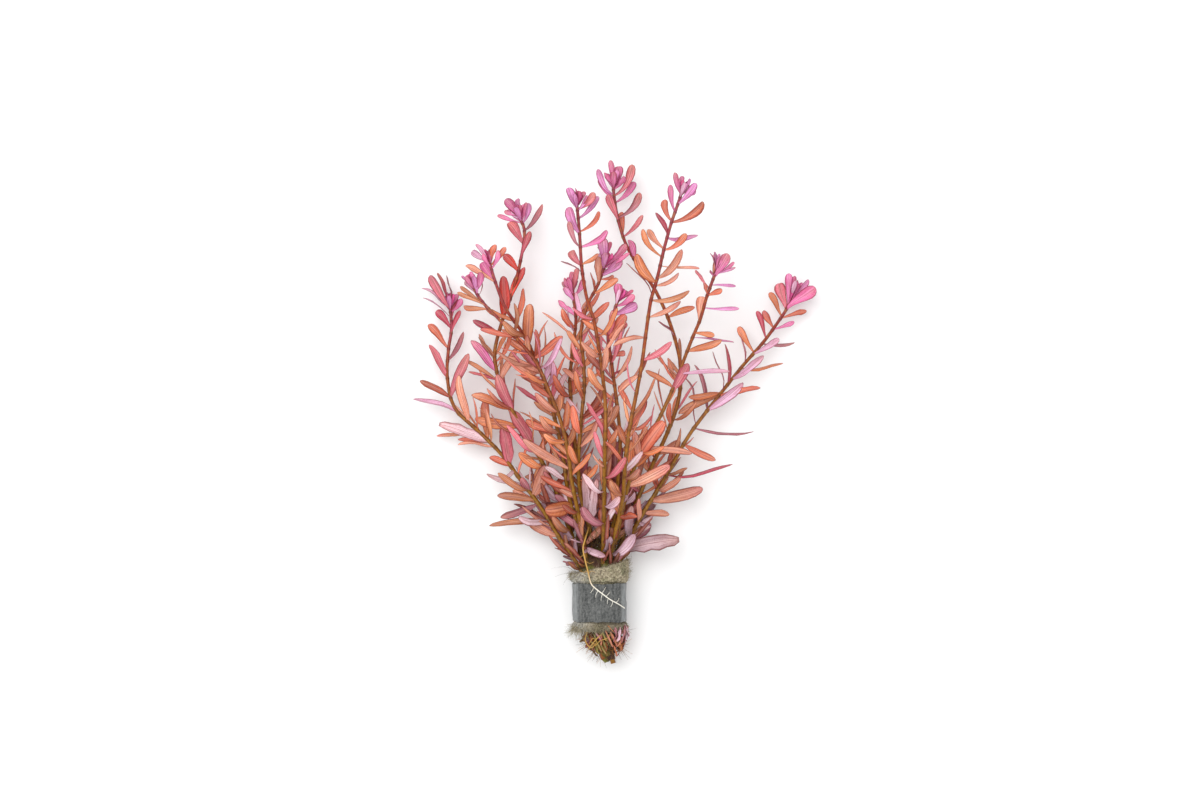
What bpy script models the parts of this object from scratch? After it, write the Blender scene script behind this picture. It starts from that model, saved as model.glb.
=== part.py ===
"""A bunch of twelve cut rotala stems, lying down, its feet wrapped in foam and a lead strip.

The tables are in millimetres, and MM turns them into metres. +Y runs up the bunch from the
strip to the crowns, +X across it and +Z away from the surface that it lies on. The origin
is the middle of the strip's flat underside.
"""

import math
import random

import bmesh
import bpy
from mathutils import Vector
from mathutils.bvhtree import BVHTree

MM = 0.001

# The collar: a lead strip round a foam wrap, both lying along Y
AXIS_Z = 10.6
STRIP_OUT = 10.9
STRIP_THICK = 0.8
STRIP_HALF = 7.6
STRIP_LAP = 25
STRIP_END = 27
STRIP_RISE = 90
GAP = 0.3
FOAM_SIDE = 11.7
FOAM_NECK = 9.8
FOAM_HOLE = 7.2
FOAM_MOUTH = 10.5
FOAM_LOW = -11.6
FOAM_HIGH = 18.0
FOAM_TOP = 14.0
FOAM_SLANT = 14.5
FOAM_FLAT = STRIP_THICK + GAP
FOAM_STEPS = 20
CUT_REACH = 60
STRIP_STEPS = 40

# The stems: radius at the foot and under the crown, and how they close up below the foam
STEM_FOOT = 1.05
STEM_TIP = 0.5
STEM_SIDES = 1
COLLAR_Y = 11.6
STUB_CLOSE = 0.84
STUB_LEAN = 0.3

# A leaf is a lens with a keel. Between its foot and its tip it has rings of three points,
# each given as its share of the way to the tip and its share of the full width
KEEL = 0.6
LANCE = ((0.36, 0.92), (0.74, 0.86))
SPOON = ((0.40, 0.58), (0.76, 1.0))
PLAIN = ((0.55, 1.0),)
NARROW = 3.7
BOW = 0.07
PLAIN_BEND = 0.12
FACE_STEM = 0.8
EDGE_ON = 68

# Where a leaf would touch another stem or its leaves, its tip is tried at these rises and the
# leaf at these sizes, until it has this much room all round
RISES = (0, 3, -3, 6, -6, 9, -9, 12, -12, 15)
SHRINKS = (1.0, 0.87, 0.75)
SWELL = 0.35

# How the leaves read from the photo lie: their tips a little up or down in turn, their blades
# a little turned in turn, and the young ones this far below a crown shaped like spoons
TIP_RISES = (2.5, -2.0, 0.5, 4.0)
BLADE_TURN = 18
YOUNG = 30

# How the plain leaves stand: distance between pairs, spread from the stem, length and width
PAIR_STEP = (5.2, 7.8)
PAIR_OFFSET = 0.4
PAIR_WANDER = 25
PLAIN_SPREAD = (34, 64)
PLAIN_LENGTH = (11.5, 16.5)
PLAIN_WIDTH = (3.0, 4.4)

# The root that grows from a stem and trails over the front of the collar
ROOT_RADIUS = 0.32
ROOT_STEM = "stem_06"
ROOT_ROUTE = (
    (-4.2, 30.0, 12.6), (-4.8, 28.0, 16.8), (-5.6, 25.4, 20.2), (-6.5, 21.6, 22.2),
    (-5.6, 16.8, 22.8), (-4.5, 12.4, 22.8), (-3.4, 8.0, 22.9), (-1.7, 6.0, 23.3),
    (1.0, 3.9, 23.4), (4.2, 1.5, 22.7), (7.2, -0.2, 21.2), (8.7, -1.2, 19.9),
    (10.0, -2.1, 18.5),
)

# One entry for each stem. route: its bends seen from above, from the crown down to the foam.
# ring: its place in the collar, as radius and angle. high: its height above the surface half
# way up and at the crown. end: height of its cut end. bud: size of its pair of buds, if it has
# them. fill: lowest and highest pair of the plain leaves, and the share of them still there.
# bend: how much its leaves bow out. leaves, as read from the photo: foot (height along Y), tip,
# width, and how far the blade turns on edge and its tip rises where that shows
STEMS = (
    dict(
        name="stem_01", ring=(5.4, 180), high=(10, 6), end=-15.4, bud=0.8, seed=11,
        fill=(20, 50, 0.4), bend=0,
        route=((-59.8, 119.2), (-59, 109.2), (-60.2, 100.4), (-60.6, 89.2), (-57.4, 76.8),
               (-48.2, 68), (-39.4, 59.2), (-31, 48), (-23, 37.2), (-15.8, 25.2), (-6.6, 11.6)),
        leaves=((119, -60.9, 130, 2, EDGE_ON), (117, -71, 125, 2, EDGE_ON),
                (113, -70.5, 121.2, 2, EDGE_ON), (116.8, -67.4, 130, 4.5), (119, -64.6, 131, 1.8),
                (112, -57.1, 121.6, 2.6), (108.8, -65, 116, 3.6), (107, -55.4, 116, 2.2),
                (100.8, -68.2, 110.4, 3.6), (96, -54.2, 107.6, 3, EDGE_ON),
                (89, -67.8, 102.4, 3.2), (81.2, -52, 98.8, 4), (81.2, -71.4, 88, 3),
                (75, -74.2, 80.8, 3, EDGE_ON), (63.6, -63.8, 70.8, 5), (71.2, -55.8, 90.4, 4),
                (54.8, -38.6, 69.2, 5.6), (64.4, -45.4, 81.2, 4), (54, -43.8, 57.6, 3),
                (52.4, -37.6, 48.8, 2), (40.4, -40.6, 42.4, 3.6), (39.2, -39.4, 33.6, 3.4),
                (32.4, -43.8, 30.4, 3), (44, -31, 49.6, 3.4), (42, -21.4, 54.4, 5.5),
                (26, -28.6, 32, 4), (14.5, -17.5, 27.5, 4.5)),
    ),
    dict(
        name="stem_02", ring=(5.4, 135), high=(24, 22), end=-17.2, bud=0.6, seed=12,
        fill=(22, 106, 0.68), bend=0,
        route=((-50.6, 126.8), (-47.8, 121.2), (-44.6, 117.2), (-39.4, 112), (-31.8, 103.6),
               (-25, 95.2), (-19.8, 83.6), (-15.4, 72.4), (-12.6, 60.8), (-11, 48.4),
               (-7.8, 32.4), (-4.2, 11.6)),
        leaves=((122, -50, 129.3, 2.7), (122, -52.9, 128.1, 2.4),
                (121.5, -46.3, 131.5, 2, EDGE_ON), (119.2, -55, 125.2, 2),
                (117.5, -56.2, 122.8, 2), (116.4, -53.8, 117.2, 3), (96.8, -14.6, 105.6, 3.6),
                (52.8, -30.4, 65.2, 4), (22, 2.4, 18.6, 3.4, 0, 5)),
    ),
    dict(
        name="stem_03", ring=(2.2, 157), high=(15, 20), end=-22.6, bud=0.7, seed=13,
        fill=(22, 112, 0.64), bend=0,
        route=((-43.8, 135.6), (-41, 126.4), (-37, 116.4), (-30.2, 106.4), (-23.8, 93.2),
               (-19.8, 80.4), (-16.6, 68.4), (-14.2, 56.4), (-11.8, 40.4), (-5.4, 22.4),
               (-3, 11.6)),
        leaves=((135.2, -48.9, 142, 2.1), (135, -50.6, 139.3, 3), (135.4, -45.9, 139.9, 2),
                (135, -40.8, 141.7, 3), (133.5, -37.1, 140.8, 2.5), (127.6, -46.5, 135, 4),
                (127, -53, 133.6, 3), (102.4, -27.4, 118.4, 5), (90.4, -36.5, 97.5, 3.2),
                (67, -29.4, 72.4, 3.6), (75, -33.2, 86, 2), (38.4, -21.6, 37, 7)),
    ),
    dict(
        name="stem_04", ring=(5.4, 225), high=(12, 14), end=-14.6, bud=0.8, seed=14,
        fill=(20, 60, 0.5), bend=0,
        route=((-32.2, 154), (-29.8, 147.6), (-31.4, 135.6), (-34.2, 124.4), (-38.6, 112),
               (-41.6, 100.4), (-41.4, 94.8), (-39, 84.8), (-35, 76.8), (-27.8, 64.4),
               (-22.2, 54.4), (-17.4, 44.4), (-11.8, 28.4), (-5.8, 11.6)),
        leaves=((152.3, -37.3, 160.1, 4.1), (151.4, -32.5, 160.5, 3), (153, -37.8, 155.3, 2),
                (147.6, -22.6, 158, 3, EDGE_ON), (151.2, -29, 158.8, 2), (150.8, -40.6, 153.8, 2),
                (142.4, -36.2, 150.8, 5), (135.6, -27.4, 147.2, 3), (131.6, -38, 138, 4.6),
                (120.4, -29.8, 133.2, 3.6), (113.2, -38.2, 129.6, 5), (107.2, -50.2, 112, 3),
                (91.6, -51, 104, 4), (86.8, -33, 101.2, 3.6), (62, -35.4, 76.4, 5.5),
                (76, -40.6, 90.6, 5), (76.6, -50.8, 82.4, 4), (69.5, -49.6, 73, 4.6),
                (88, -52, 91.6, 1.4), (24.4, -20.6, 35, 5)),
    ),
    dict(
        name="stem_05", ring=(5.4, 90), high=(34, 38), end=-18.8, bud=0.8, seed=15,
        fill=(26, 118, 0.56), bend=0.2,
        route=((-9, 158.4), (-7.8, 145.2), (-7, 132.8), (-5, 120.4), (-2.2, 111.6),
               (-0.2, 100.4), (1.4, 88.4), (2.4, 76.8), (2.2, 64.4), (1.9, 46.8), (1.8, 32.4),
               (1, 11.6)),
        leaves=((156.4, -12.3, 163.6, 4), (157.2, -9.6, 163.8, 2, EDGE_ON),
                (156.5, -6.7, 161, 2, EDGE_ON), (145.6, -11.8, 156, 4.4),
                (155.2, -2.2, 161.8, 3.4), (151.6, -0.6, 160.4, 3), (146.4, -0.2, 154.4, 2.6),
                (140.4, -12, 150.4, 2.6), (140.4, 3, 146.8, 3.4), (133.2, -10.8, 139.2, 4),
                (130, -15.2, 134.9, 2.6, EDGE_ON), (133.6, -0.4, 137.6, 2.4)),
    ),
    dict(
        name="stem_06", ring=(2.2, 247), high=(22, 20), end=-24.0, bud=0, seed=16,
        fill=(24, 112, 0.6), bend=0.1,
        route=((2.6, 135), (1.4, 131.6), (-1, 125.2), (-4.6, 118.4), (-7.4, 107.2),
               (-6.4, 96.4), (-6, 86), (-7, 74.8), (-8.2, 58), (-7.8, 44.4), (-3.8, 28.4),
               (-1.4, 11.6)),
        leaves=((134, 1.2, 144.6, 4.8), (134.4, 4.5, 143.1, 2), (133.6, 10.5, 142.2, 3.6),
                (132.4, 11.9, 138.5, 2), (129.6, 8.4, 136.4, 4.4),
                (131.4, -0.8, 141, 1.6, EDGE_ON), (128.2, 5.7, 129.5, 1.8),
                (122.4, 7.3, 128.3, 3.2), (126.6, -0.4, 137.2, 4), (123, -3.6, 131, 1.6, EDGE_ON),
                (36, -6.6, 50.4, 4, 0, 12), (31, -0.8, 49.2, 5, 0, 12)),
    ),
    dict(
        name="stem_07", ring=(5.4, 315), high=(12, 12), end=-13.8, bud=0, seed=17,
        fill=(22, 90, 0.4), bend=0.24,
        route=((5.4, 167.6), (5.8, 161.2), (7.8, 150.4), (11.4, 140.4), (16.2, 132.8),
               (22.2, 124), (27.8, 111.6), (31.8, 97.6), (32.4, 91.6), (31.4, 80.4),
               (27.4, 68.4), (21, 54.4), (14.2, 38.4), (8.2, 22.4), (5, 11.6)),
        leaves=((166, 4.3, 175.6, 2.6), (164, 7.8, 173.4, 4.8), (161.5, 13, 174, 3.8),
                (162, -0.6, 172, 2.8), (160.4, -0.2, 168.4, 3.2), (158.8, 14, 167.2, 3.2),
                (152.8, 16, 162.8, 3.4), (145.2, 17.2, 153.7, 2.6), (151.6, 3.4, 162, 3.6),
                (146, 8.6, 155.2, 2.8), (136.4, 11.4, 144, 3), (113.2, 37.8, 117.2, 2.8),
                (105, 23.4, 111.6, 2.6, EDGE_ON), (59, 32, 64.4, 4), (32, 13, 44, 6)),
    ),
    dict(
        name="stem_08", ring=(5.4, 45), high=(38, 42), end=-16.4, bud=0.8, seed=18,
        fill=(26, 76, 0.3), bend=0.2,
        route=((32.4, 162.4), (30.6, 156.8), (28.2, 150), (25.4, 140), (22.5, 127.6),
               (20.2, 119.6), (18.2, 106.4), (16.6, 94.4), (14.2, 81.6), (11.8, 69.2),
               (10.2, 56.4), (9, 40.4), (5, 22.4), (4.0, 11.6)),
        leaves=((161, 29.5, 169.4, 2.8), (161, 32.7, 168.2, 2.4), (161.6, 35.5, 167.1, 1.8),
                (157, 37.8, 165.1, 3.3), (153.9, 27.8, 164.6, 2.6), (150.4, 25.7, 159, 3.4),
                (150, 40.6, 158, 4.2), (144.8, 21.9, 153.6, 3, EDGE_ON),
                (139.2, 33.9, 145.5, 3.2), (144, 38.6, 144.9, 3, EDGE_ON), (139.6, 19, 147.2, 3),
                (136.4, 16.9, 147.2, 2.6), (128, 32.2, 139.3, 3.4), (133, 39.2, 132, 1.4),
                (125.2, 31, 130.2, 2), (126.4, 14.6, 137.6, 4.6), (121.2, 10.6, 134, 3, EDGE_ON),
                (112.8, 31.8, 119.2, 2.4), (119.6, 35.2, 123.2, 2.6), (96, 28.2, 103.2, 3),
                (104.8, 5.4, 101.6, 2.4), (90.4, 7.4, 83.6, 3), (19, 14, 27.2, 4.6, 0, 3)),
    ),
    dict(
        name="stem_09", ring=(2.2, 67), high=(27, 30), end=-21.2, bud=0, seed=19,
        fill=(26, 60, 0.42), bend=0,
        route=((47, 134), (44.6, 127.6), (42.2, 120.8), (39.8, 112.4), (36.6, 104.8),
               (32.6, 94.4), (29.4, 86), (24.2, 74.4), (18.2, 63.2), (12.6, 50.8), (9, 36.4),
               (5.8, 22.4), (1.8, 11.6)),
        leaves=((128.5, 50.5, 138, 4.4), (128, 47.5, 135, 4.4), (131, 43.6, 138.2, 2, EDGE_ON),
                (129, 43.5, 131.4, 1.2), (121.7, 41, 126.5, 1.8), (124.4, 37.8, 131.6, 1.6),
                (130, 53.6, 132.6, 1.2), (125.6, 53.6, 125.2, 1.4), (121.6, 48.2, 124, 2.8),
                (111.2, 40.6, 121.2, 4.4), (116.8, 55, 116.4, 1.8), (106.8, 45.2, 105.6, 2.8),
                (99.6, 48.2, 104, 3.4), (105, 53, 103.2, 1.2), (84, 35, 94.8, 4.6),
                (90.8, 51.4, 91.6, 2), (85.2, 18.2, 92, 2.6), (61.6, 36.5, 59.2, 3),
                (46.4, 27.8, 54.4, 5), (58, 25.5, 72, 6), (57.2, 13.6, 68, 3.6)),
    ),
    dict(
        name="stem_10", ring=(5.4, 0), high=(13, 6), end=-16.0, bud=0, seed=20,
        fill=(24, 45, 0.3), bend=0,
        route=((77.4, 124.4), (74.6, 116.8), (71.8, 112.4), (65.4, 103.6), (57, 94), (47.4, 82),
               (37.8, 69.6), (33.4, 62.8), (29.8, 56), (23, 44.4), (17.4, 35.6), (13, 27.6),
               (9, 18.4), (6.4, 11.6)),
        leaves=((118, 75.3, 130.8, 3.8), (116.6, 71.8, 127, 5), (118, 83.3, 128.4, 3),
                (116.6, 86, 125, 5.6), (118.5, 77.8, 129.8, 2.4), (118, 79.4, 127, 4),
                (113.6, 67.7, 123.2, 3), (109, 65.3, 116, 3), (104.8, 62.6, 115.8, 2.6),
                (99.2, 55.4, 109.6, 3.2), (94.8, 56, 106, 3, EDGE_ON),
                (86.6, 49.8, 102.6, 3, EDGE_ON), (83.8, 45, 99.6, 3, EDGE_ON),
                (76.2, 37.8, 94.4, 3, EDGE_ON), (70.4, 33.6, 89.6, 3, EDGE_ON),
                (83.2, 35.4, 81.6, 3), (83, 31.4, 75, 3.6), (112.8, 82.6, 116, 2.4),
                (108.4, 77.6, 111.6, 2), (102.8, 77.6, 103.2, 2, EDGE_ON), (98.4, 71.4, 104.8, 3),
                (93.2, 73.2, 95, 2, EDGE_ON), (88.4, 65.3, 98, 3.2), (82, 63.8, 85.2, 2.6),
                (76.2, 57, 87.2, 4.2), (69.2, 61.3, 67.8, 2, EDGE_ON), (62.8, 46.1, 56.5, 3.2),
                (50.6, 52.8, 54.9, 2, EDGE_ON), (40.4, 41, 45.2, 5.2), (35.6, 27.8, 34.8, 3.2),
                (32, 20, 30, 2), (21, 31.6, 25, 7.4)),
    ),
    dict(
        name="stem_11", ring=(5.4, 270), high=(10, 10), end=-14.2, bud=0.8, seed=21,
        fill=(22, 114, 0.74), bend=0,
        route=((-10.8, 125.4), (-10.2, 120), (-9.4, 112.4), (-10.6, 100.4), (-11.8, 88.4),
               (-11, 76.4), (-9.8, 64.4), (-8.6, 52.4), (-6.6, 40.4), (-3.8, 26.4), (-2.2, 11.6)),
        leaves=((123.4, -11.3, 131.4, 3.4), (121.6, -14.8, 127.5, 1.6), (119.4, -14.2, 125.2, 3),
                (123.6, -8.4, 132.8, 3)),
    ),
    dict(
        name="stem_12", ring=(2.2, 337), high=(26, 24), end=-24.4, bud=0.8, seed=22,
        fill=(22, 106, 0.68), bend=0,
        route=((7.7, 120.8), (5.8, 115.6), (3.4, 106.4), (4.6, 96.4), (6.2, 84.4), (7.4, 74.4),
               (8.2, 64.4), (7.4, 50.4), (6.2, 36.4), (4.2, 22.4), (2.6, 11.6)),
        leaves=((119, 7.3, 126.4, 4), (118.6, 13.4, 123.8, 1.5), (114, 14.8, 118.3, 4.4),
                (104, 10.4, 114, 4.2), (108, 11, 110.5, 3), (97.4, 10.2, 99, 2.6),
                (90.8, 11, 93, 1.4), (45, 7.4, 64, 6.5), (40, 11.4, 42.5, 3), (41, 9.4, 50.4, 4)),
    ),
)
HALF_WAY = 66
LOW_WIDER = 2.0

# A pair of buds: distance below the tip, length, spread from the stem, width and first azimuth
BUD = (0.4, 5.5, 13, 2.6)
BUD_TURN = 38

# Old scraps of leaf below the foam: height of the foot, reach outwards and drop of the tip
SCRAP_FOOT = -12.9
SCRAP_REACH = 3.6
SCRAP_LEAN = 1.8
SCRAP_DROP = 2.6
SCRAP_WIDTH = 2.8
SCRAP_TURN = 30
INNER_RING = 3

FINISHES = {
    "foliage": ((0.52, 0.14, 0.13), 0.45, 0.0),
    "foam": ((0.40, 0.37, 0.23), 0.9, 0.0),
    "lead": ((0.13, 0.14, 0.15), 0.45, 1.0),
}


def clear_scene():
    for thing in list(bpy.data.objects):
        bpy.data.objects.remove(thing, do_unlink=True)


def new_collection(name):
    group = bpy.data.collections.new(name)
    bpy.context.scene.collection.children.link(group)
    return group


def new_material(name, finish):
    colour, roughness, metallic = FINISHES[finish]
    material = bpy.data.materials.new(name)
    material.use_nodes = True
    shader = material.node_tree.nodes["Principled BSDF"]
    shader.inputs["Base Color"].default_value = (*colour, 1.0)
    shader.inputs["Roughness"].default_value = roughness
    shader.inputs["Metallic"].default_value = metallic
    return material


def add_object(name, data, group, material=None):
    thing = bpy.data.objects.new(name, data)
    group.objects.link(thing)
    if material:
        data.materials.append(material)
    return thing


def hide_cutter(thing):
    thing.hide_render = True
    thing.display_type = "WIRE"


def add_boolean(target, operand, operation):
    modifier = target.modifiers.new(operation.title(), "BOOLEAN")
    modifier.operation = operation
    modifier.object = operand
    modifier.solver = "EXACT"
    modifier.use_self = operation == "UNION"


def ease(amount):
    return amount * amount * (3 - 2 * amount)


def blend(start, end, amount):
    return start + (end - start) * amount


def stem_height(stem, y):
    """Height of a stem above the surface where it is y along the bunch."""
    radius, angle = stem["ring"]
    foot = AXIS_Z + radius * math.sin(math.radians(angle))
    middle, crown = stem["high"]
    if y < HALF_WAY:
        return blend(foot, middle, ease((y - COLLAR_Y) / (HALF_WAY - COLLAR_Y)))
    top = stem["route"][0][1]
    return blend(middle, crown, ease((y - HALF_WAY) / (top - HALF_WAY)))


def stem_path(stem):
    """Points of a stem from its tip down through the foam to its cut end, in millimetres."""
    points = [Vector((x, y, stem_height(stem, y))) for x, y in stem["route"]]
    radius, angle = stem["ring"]
    across = radius * math.cos(math.radians(angle))
    above = radius * math.sin(math.radians(angle))
    points.append(Vector((across, 5.0, AXIS_Z + above)))
    points.append(Vector((across, FOAM_LOW, AXIS_Z + above)))
    lean = STUB_LEAN * (FOAM_LOW - stem["end"])
    end = Vector((across * STUB_CLOSE + lean, stem["end"], AXIS_Z + above * STUB_CLOSE))
    points.append(end)
    return points


def at_height(path, y):
    """Point of a stem at height y along the bunch, and its direction towards the crown."""
    for upper, lower in zip(path, path[1:]):
        if lower.y <= y <= upper.y:
            share = (y - lower.y) / (upper.y - lower.y)
            return lower.lerp(upper, share), (upper - lower).normalized()
    return path[0].copy(), (path[0] - path[1]).normalized()


def below_tip(path, distance):
    """Point of a stem at a distance below its tip, and its direction towards the crown."""
    for upper, lower in zip(path, path[1:]):
        length = (upper - lower).length
        if distance <= length:
            return upper.lerp(lower, distance / length), (upper - lower).normalized()
        distance -= length
    return path[-1].copy(), (path[-2] - path[-1]).normalized()


def facing_up(along, turn):
    """The direction that a blade faces: as far up as it can, then turned on its midrib."""
    up = Vector((0, 0, 1))
    face = (up - along * up.dot(along)).normalized()
    side = along.cross(face)
    angle = math.radians(turn)
    return face * math.cos(angle) + side * math.sin(angle)


def bend_away(way, stem_way, amount):
    """How a leaf bends: off its stem where it points up the stem, and back where it droops."""
    along = way.dot(stem_way)
    return (way * along - stem_way) * along * amount


def spread_leaf(foot, stem_way, azimuth, spread, length, width, shape):
    """A leaf that leaves its stem at a spread and an azimuth, half turned to face up."""
    side = stem_way.cross(Vector((0, 0, 1))).normalized()
    lift = side.cross(stem_way)
    angle = math.radians(azimuth)
    outward = side * math.cos(angle) + lift * math.sin(angle)
    tilt = math.radians(spread)
    way = stem_way * math.cos(tilt) + outward * math.sin(tilt)
    inner = stem_way * math.sin(tilt) - outward * math.cos(tilt)
    face = facing_up(way, 0)
    if inner.dot(face) < 0:
        inner = -inner
    face = (face + inner * FACE_STEM).normalized()
    return dict(foot=foot, tip=foot + way * length, width=width, face=face, shape=shape,
                bend=bend_away(way, stem_way, PLAIN_BEND))


def bud_leaves(stem, path):
    """The pair of buds at a stem's tip, where the leaves read from the photo show one."""
    size = stem["bud"]
    if not size:
        return []
    below, length, spread, width = BUD
    foot, way = below_tip(path, below * size)
    return [spread_leaf(foot, way, BUD_TURN + side, spread, length * size, width * size, PLAIN)
            for side in (0, 180)]


def read_leaves(stem, path):
    grown = []
    for number, (height, tip_x, tip_y, width, *more) in enumerate(stem["leaves"]):
        turn = more[0] if more else 0
        rise = more[1] if len(more) > 1 else TIP_RISES[number % len(TIP_RISES)]
        foot, stem_way = at_height(path, height)
        tip = Vector((tip_x, tip_y, foot.z + rise))
        way = (tip - foot).normalized()
        face = facing_up(way, turn + BLADE_TURN * (-1) ** number)
        shape = SPOON if height > path[0].y - YOUNG else LANCE
        if width < NARROW or turn:
            shape = PLAIN
        bend = bend_away(way, stem_way, 0 if turn else stem["bend"])
        grown.append(dict(foot=foot, tip=tip, width=width, face=face, shape=shape, bend=bend))
    return grown


def fill_leaves(stem, path):
    low, high, share = stem["fill"]
    draw = random.Random(stem["seed"])
    grown = []
    height = high
    number = 0
    while height > low:
        for side in (0, 180):
            azimuth = 45 + 90 * number + side + draw.uniform(-PAIR_WANDER, PAIR_WANDER)
            spread = draw.uniform(*PLAIN_SPREAD)
            length = draw.uniform(*PLAIN_LENGTH)
            wider = LOW_WIDER * max(0, 1 - height / HALF_WAY)
            width = draw.uniform(*PLAIN_WIDTH) + wider
            if draw.random() < share:
                foot, way = at_height(path, height - PAIR_OFFSET * (side > 0))
                grown.append(spread_leaf(foot, way, azimuth, spread, length, width, PLAIN))
        height -= draw.uniform(*PAIR_STEP)
        number += 1
    return grown


def scrap_leaves(stem, path):
    """The rag of an old leaf on the outer stems, just below the foam."""
    radius, angle = stem["ring"]
    if radius < INNER_RING:
        return []
    foot, _ = at_height(path, SCRAP_FOOT)
    outward = Vector((math.cos(math.radians(angle)), 0, math.sin(math.radians(angle))))
    reach = SCRAP_REACH + SCRAP_LEAN * outward.x
    tip = foot + outward * reach - Vector((0, SCRAP_DROP, 0))
    way = (tip - foot).normalized()
    return [dict(foot=foot, tip=tip, width=SCRAP_WIDTH, face=facing_up(way, SCRAP_TURN), shape=PLAIN,
                 bend=Vector())]


def moved(leaf, rise, shrink):
    """The same leaf with its tip raised and the whole of it made smaller."""
    tip = leaf["foot"] + (leaf["tip"] - leaf["foot"]) * shrink + Vector((0, 0, rise))
    tip.z = max(tip.z, 0)
    way = (tip - leaf["foot"]).normalized()
    face = (leaf["face"] - way * leaf["face"].dot(way)).normalized()
    return dict(leaf, tip=tip, face=face, width=leaf["width"] * shrink)


def leaf_mesh(leaf, swell=0.0):
    """A leaf as a sphere of three sides, its rings moved to the blade's edges and keel."""
    foot, tip, face = leaf["foot"], leaf["tip"], leaf["face"]
    length = (tip - foot).length
    way = (tip - foot).normalized()
    side = way.cross(face)
    levels = len(leaf["shape"]) + 1
    shape = bmesh.new()
    bmesh.ops.create_uvsphere(shape, u_segments=3, v_segments=levels, radius=1)
    rings = [[] for _ in leaf["shape"]]
    for vertex in shape.verts:
        level = round(math.acos(max(-1, min(1, vertex.co.z))) / math.pi * levels)
        if level in (0, levels):
            vertex.co = foot if level == 0 else tip + way * swell
            continue
        share, spread = leaf["shape"][level - 1]
        half = leaf["width"] / 2 * spread + swell
        keel = vertex.co.y > 0
        across = 0 if keel else math.copysign(half, vertex.co.x)
        depth = -KEEL - swell if keel else swell
        arch = 4 * share * (1 - share) * length
        middle = foot.lerp(tip, share) + (face * BOW + leaf["bend"]) * arch
        vertex.co = middle + side * across + face * depth
        rings[level - 1].append(vertex)
    for ring in rings:
        sink = min(vertex.co.z for vertex in ring)
        for vertex in ring:
            vertex.co.z -= min(sink, 0)
    for vertex in shape.verts:
        vertex.co *= MM
    if shape.calc_volume(signed=True) < 0:
        bmesh.ops.reverse_faces(shape, faces=shape.faces)
    return shape


def search_tree(shape):
    """A tree of a mesh's faces and the box round it, for finding what crosses it."""
    low = Vector([min(vertex.co[axis] for vertex in shape.verts) for axis in range(3)])
    high = Vector([max(vertex.co[axis] for vertex in shape.verts) for axis in range(3)])
    return BVHTree.FromBMesh(shape), low, high


def crosses(one, other):
    tree, low, high = one
    other_tree, other_low, other_high = other
    if any(low[axis] > other_high[axis] or high[axis] < other_low[axis] for axis in range(3)):
        return False
    return bool(tree.overlap(other_tree))


def object_tree(thing):
    evaluated = thing.evaluated_get(bpy.context.evaluated_depsgraph_get())
    shape = bmesh.new()
    shape.from_mesh(evaluated.to_mesh())
    shape.transform(thing.matrix_world)
    tree = search_tree(shape)
    shape.free()
    evaluated.to_mesh_clear()
    return tree


def add_tube(name, points, radii, group, material=None):
    """A tube of six sides along millimetre points, its caps welded, as a mesh object."""
    curve = bpy.data.curves.new(name, "CURVE")
    curve.dimensions = "3D"
    curve.bevel_depth = MM
    curve.bevel_resolution = STEM_SIDES
    curve.use_fill_caps = True
    spline = curve.splines.new("POLY")
    spline.points.add(len(points) - 1)
    for point, place, radius in zip(spline.points, points, radii):
        point.co = (*(place * MM), 1)
        point.radius = radius
    drawn = add_object(name + "_line", curve, group)
    evaluated = drawn.evaluated_get(bpy.context.evaluated_depsgraph_get())
    mesh = bpy.data.meshes.new_from_object(evaluated)
    mesh.name = name
    place = drawn.matrix_world.copy()
    bpy.data.objects.remove(drawn)
    bpy.data.curves.remove(curve)
    shape = bmesh.new()
    shape.from_mesh(mesh)
    bmesh.ops.remove_doubles(shape, verts=shape.verts, dist=0.001 * MM)
    shape.to_mesh(mesh)
    shape.free()
    tube = add_object(name, mesh, group, material)
    tube.matrix_world = place
    return tube


def build_stem_tube(stem, group):
    path = stem_path(stem)
    top, bottom = path[0].y, path[-1].y
    radii = [blend(STEM_FOOT, STEM_TIP, (p.y - bottom) / (top - bottom)) for p in path]
    material = new_material(stem["name"] + "_foliage", "foliage")
    return add_tube(stem["name"], path, radii, group, material)


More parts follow.
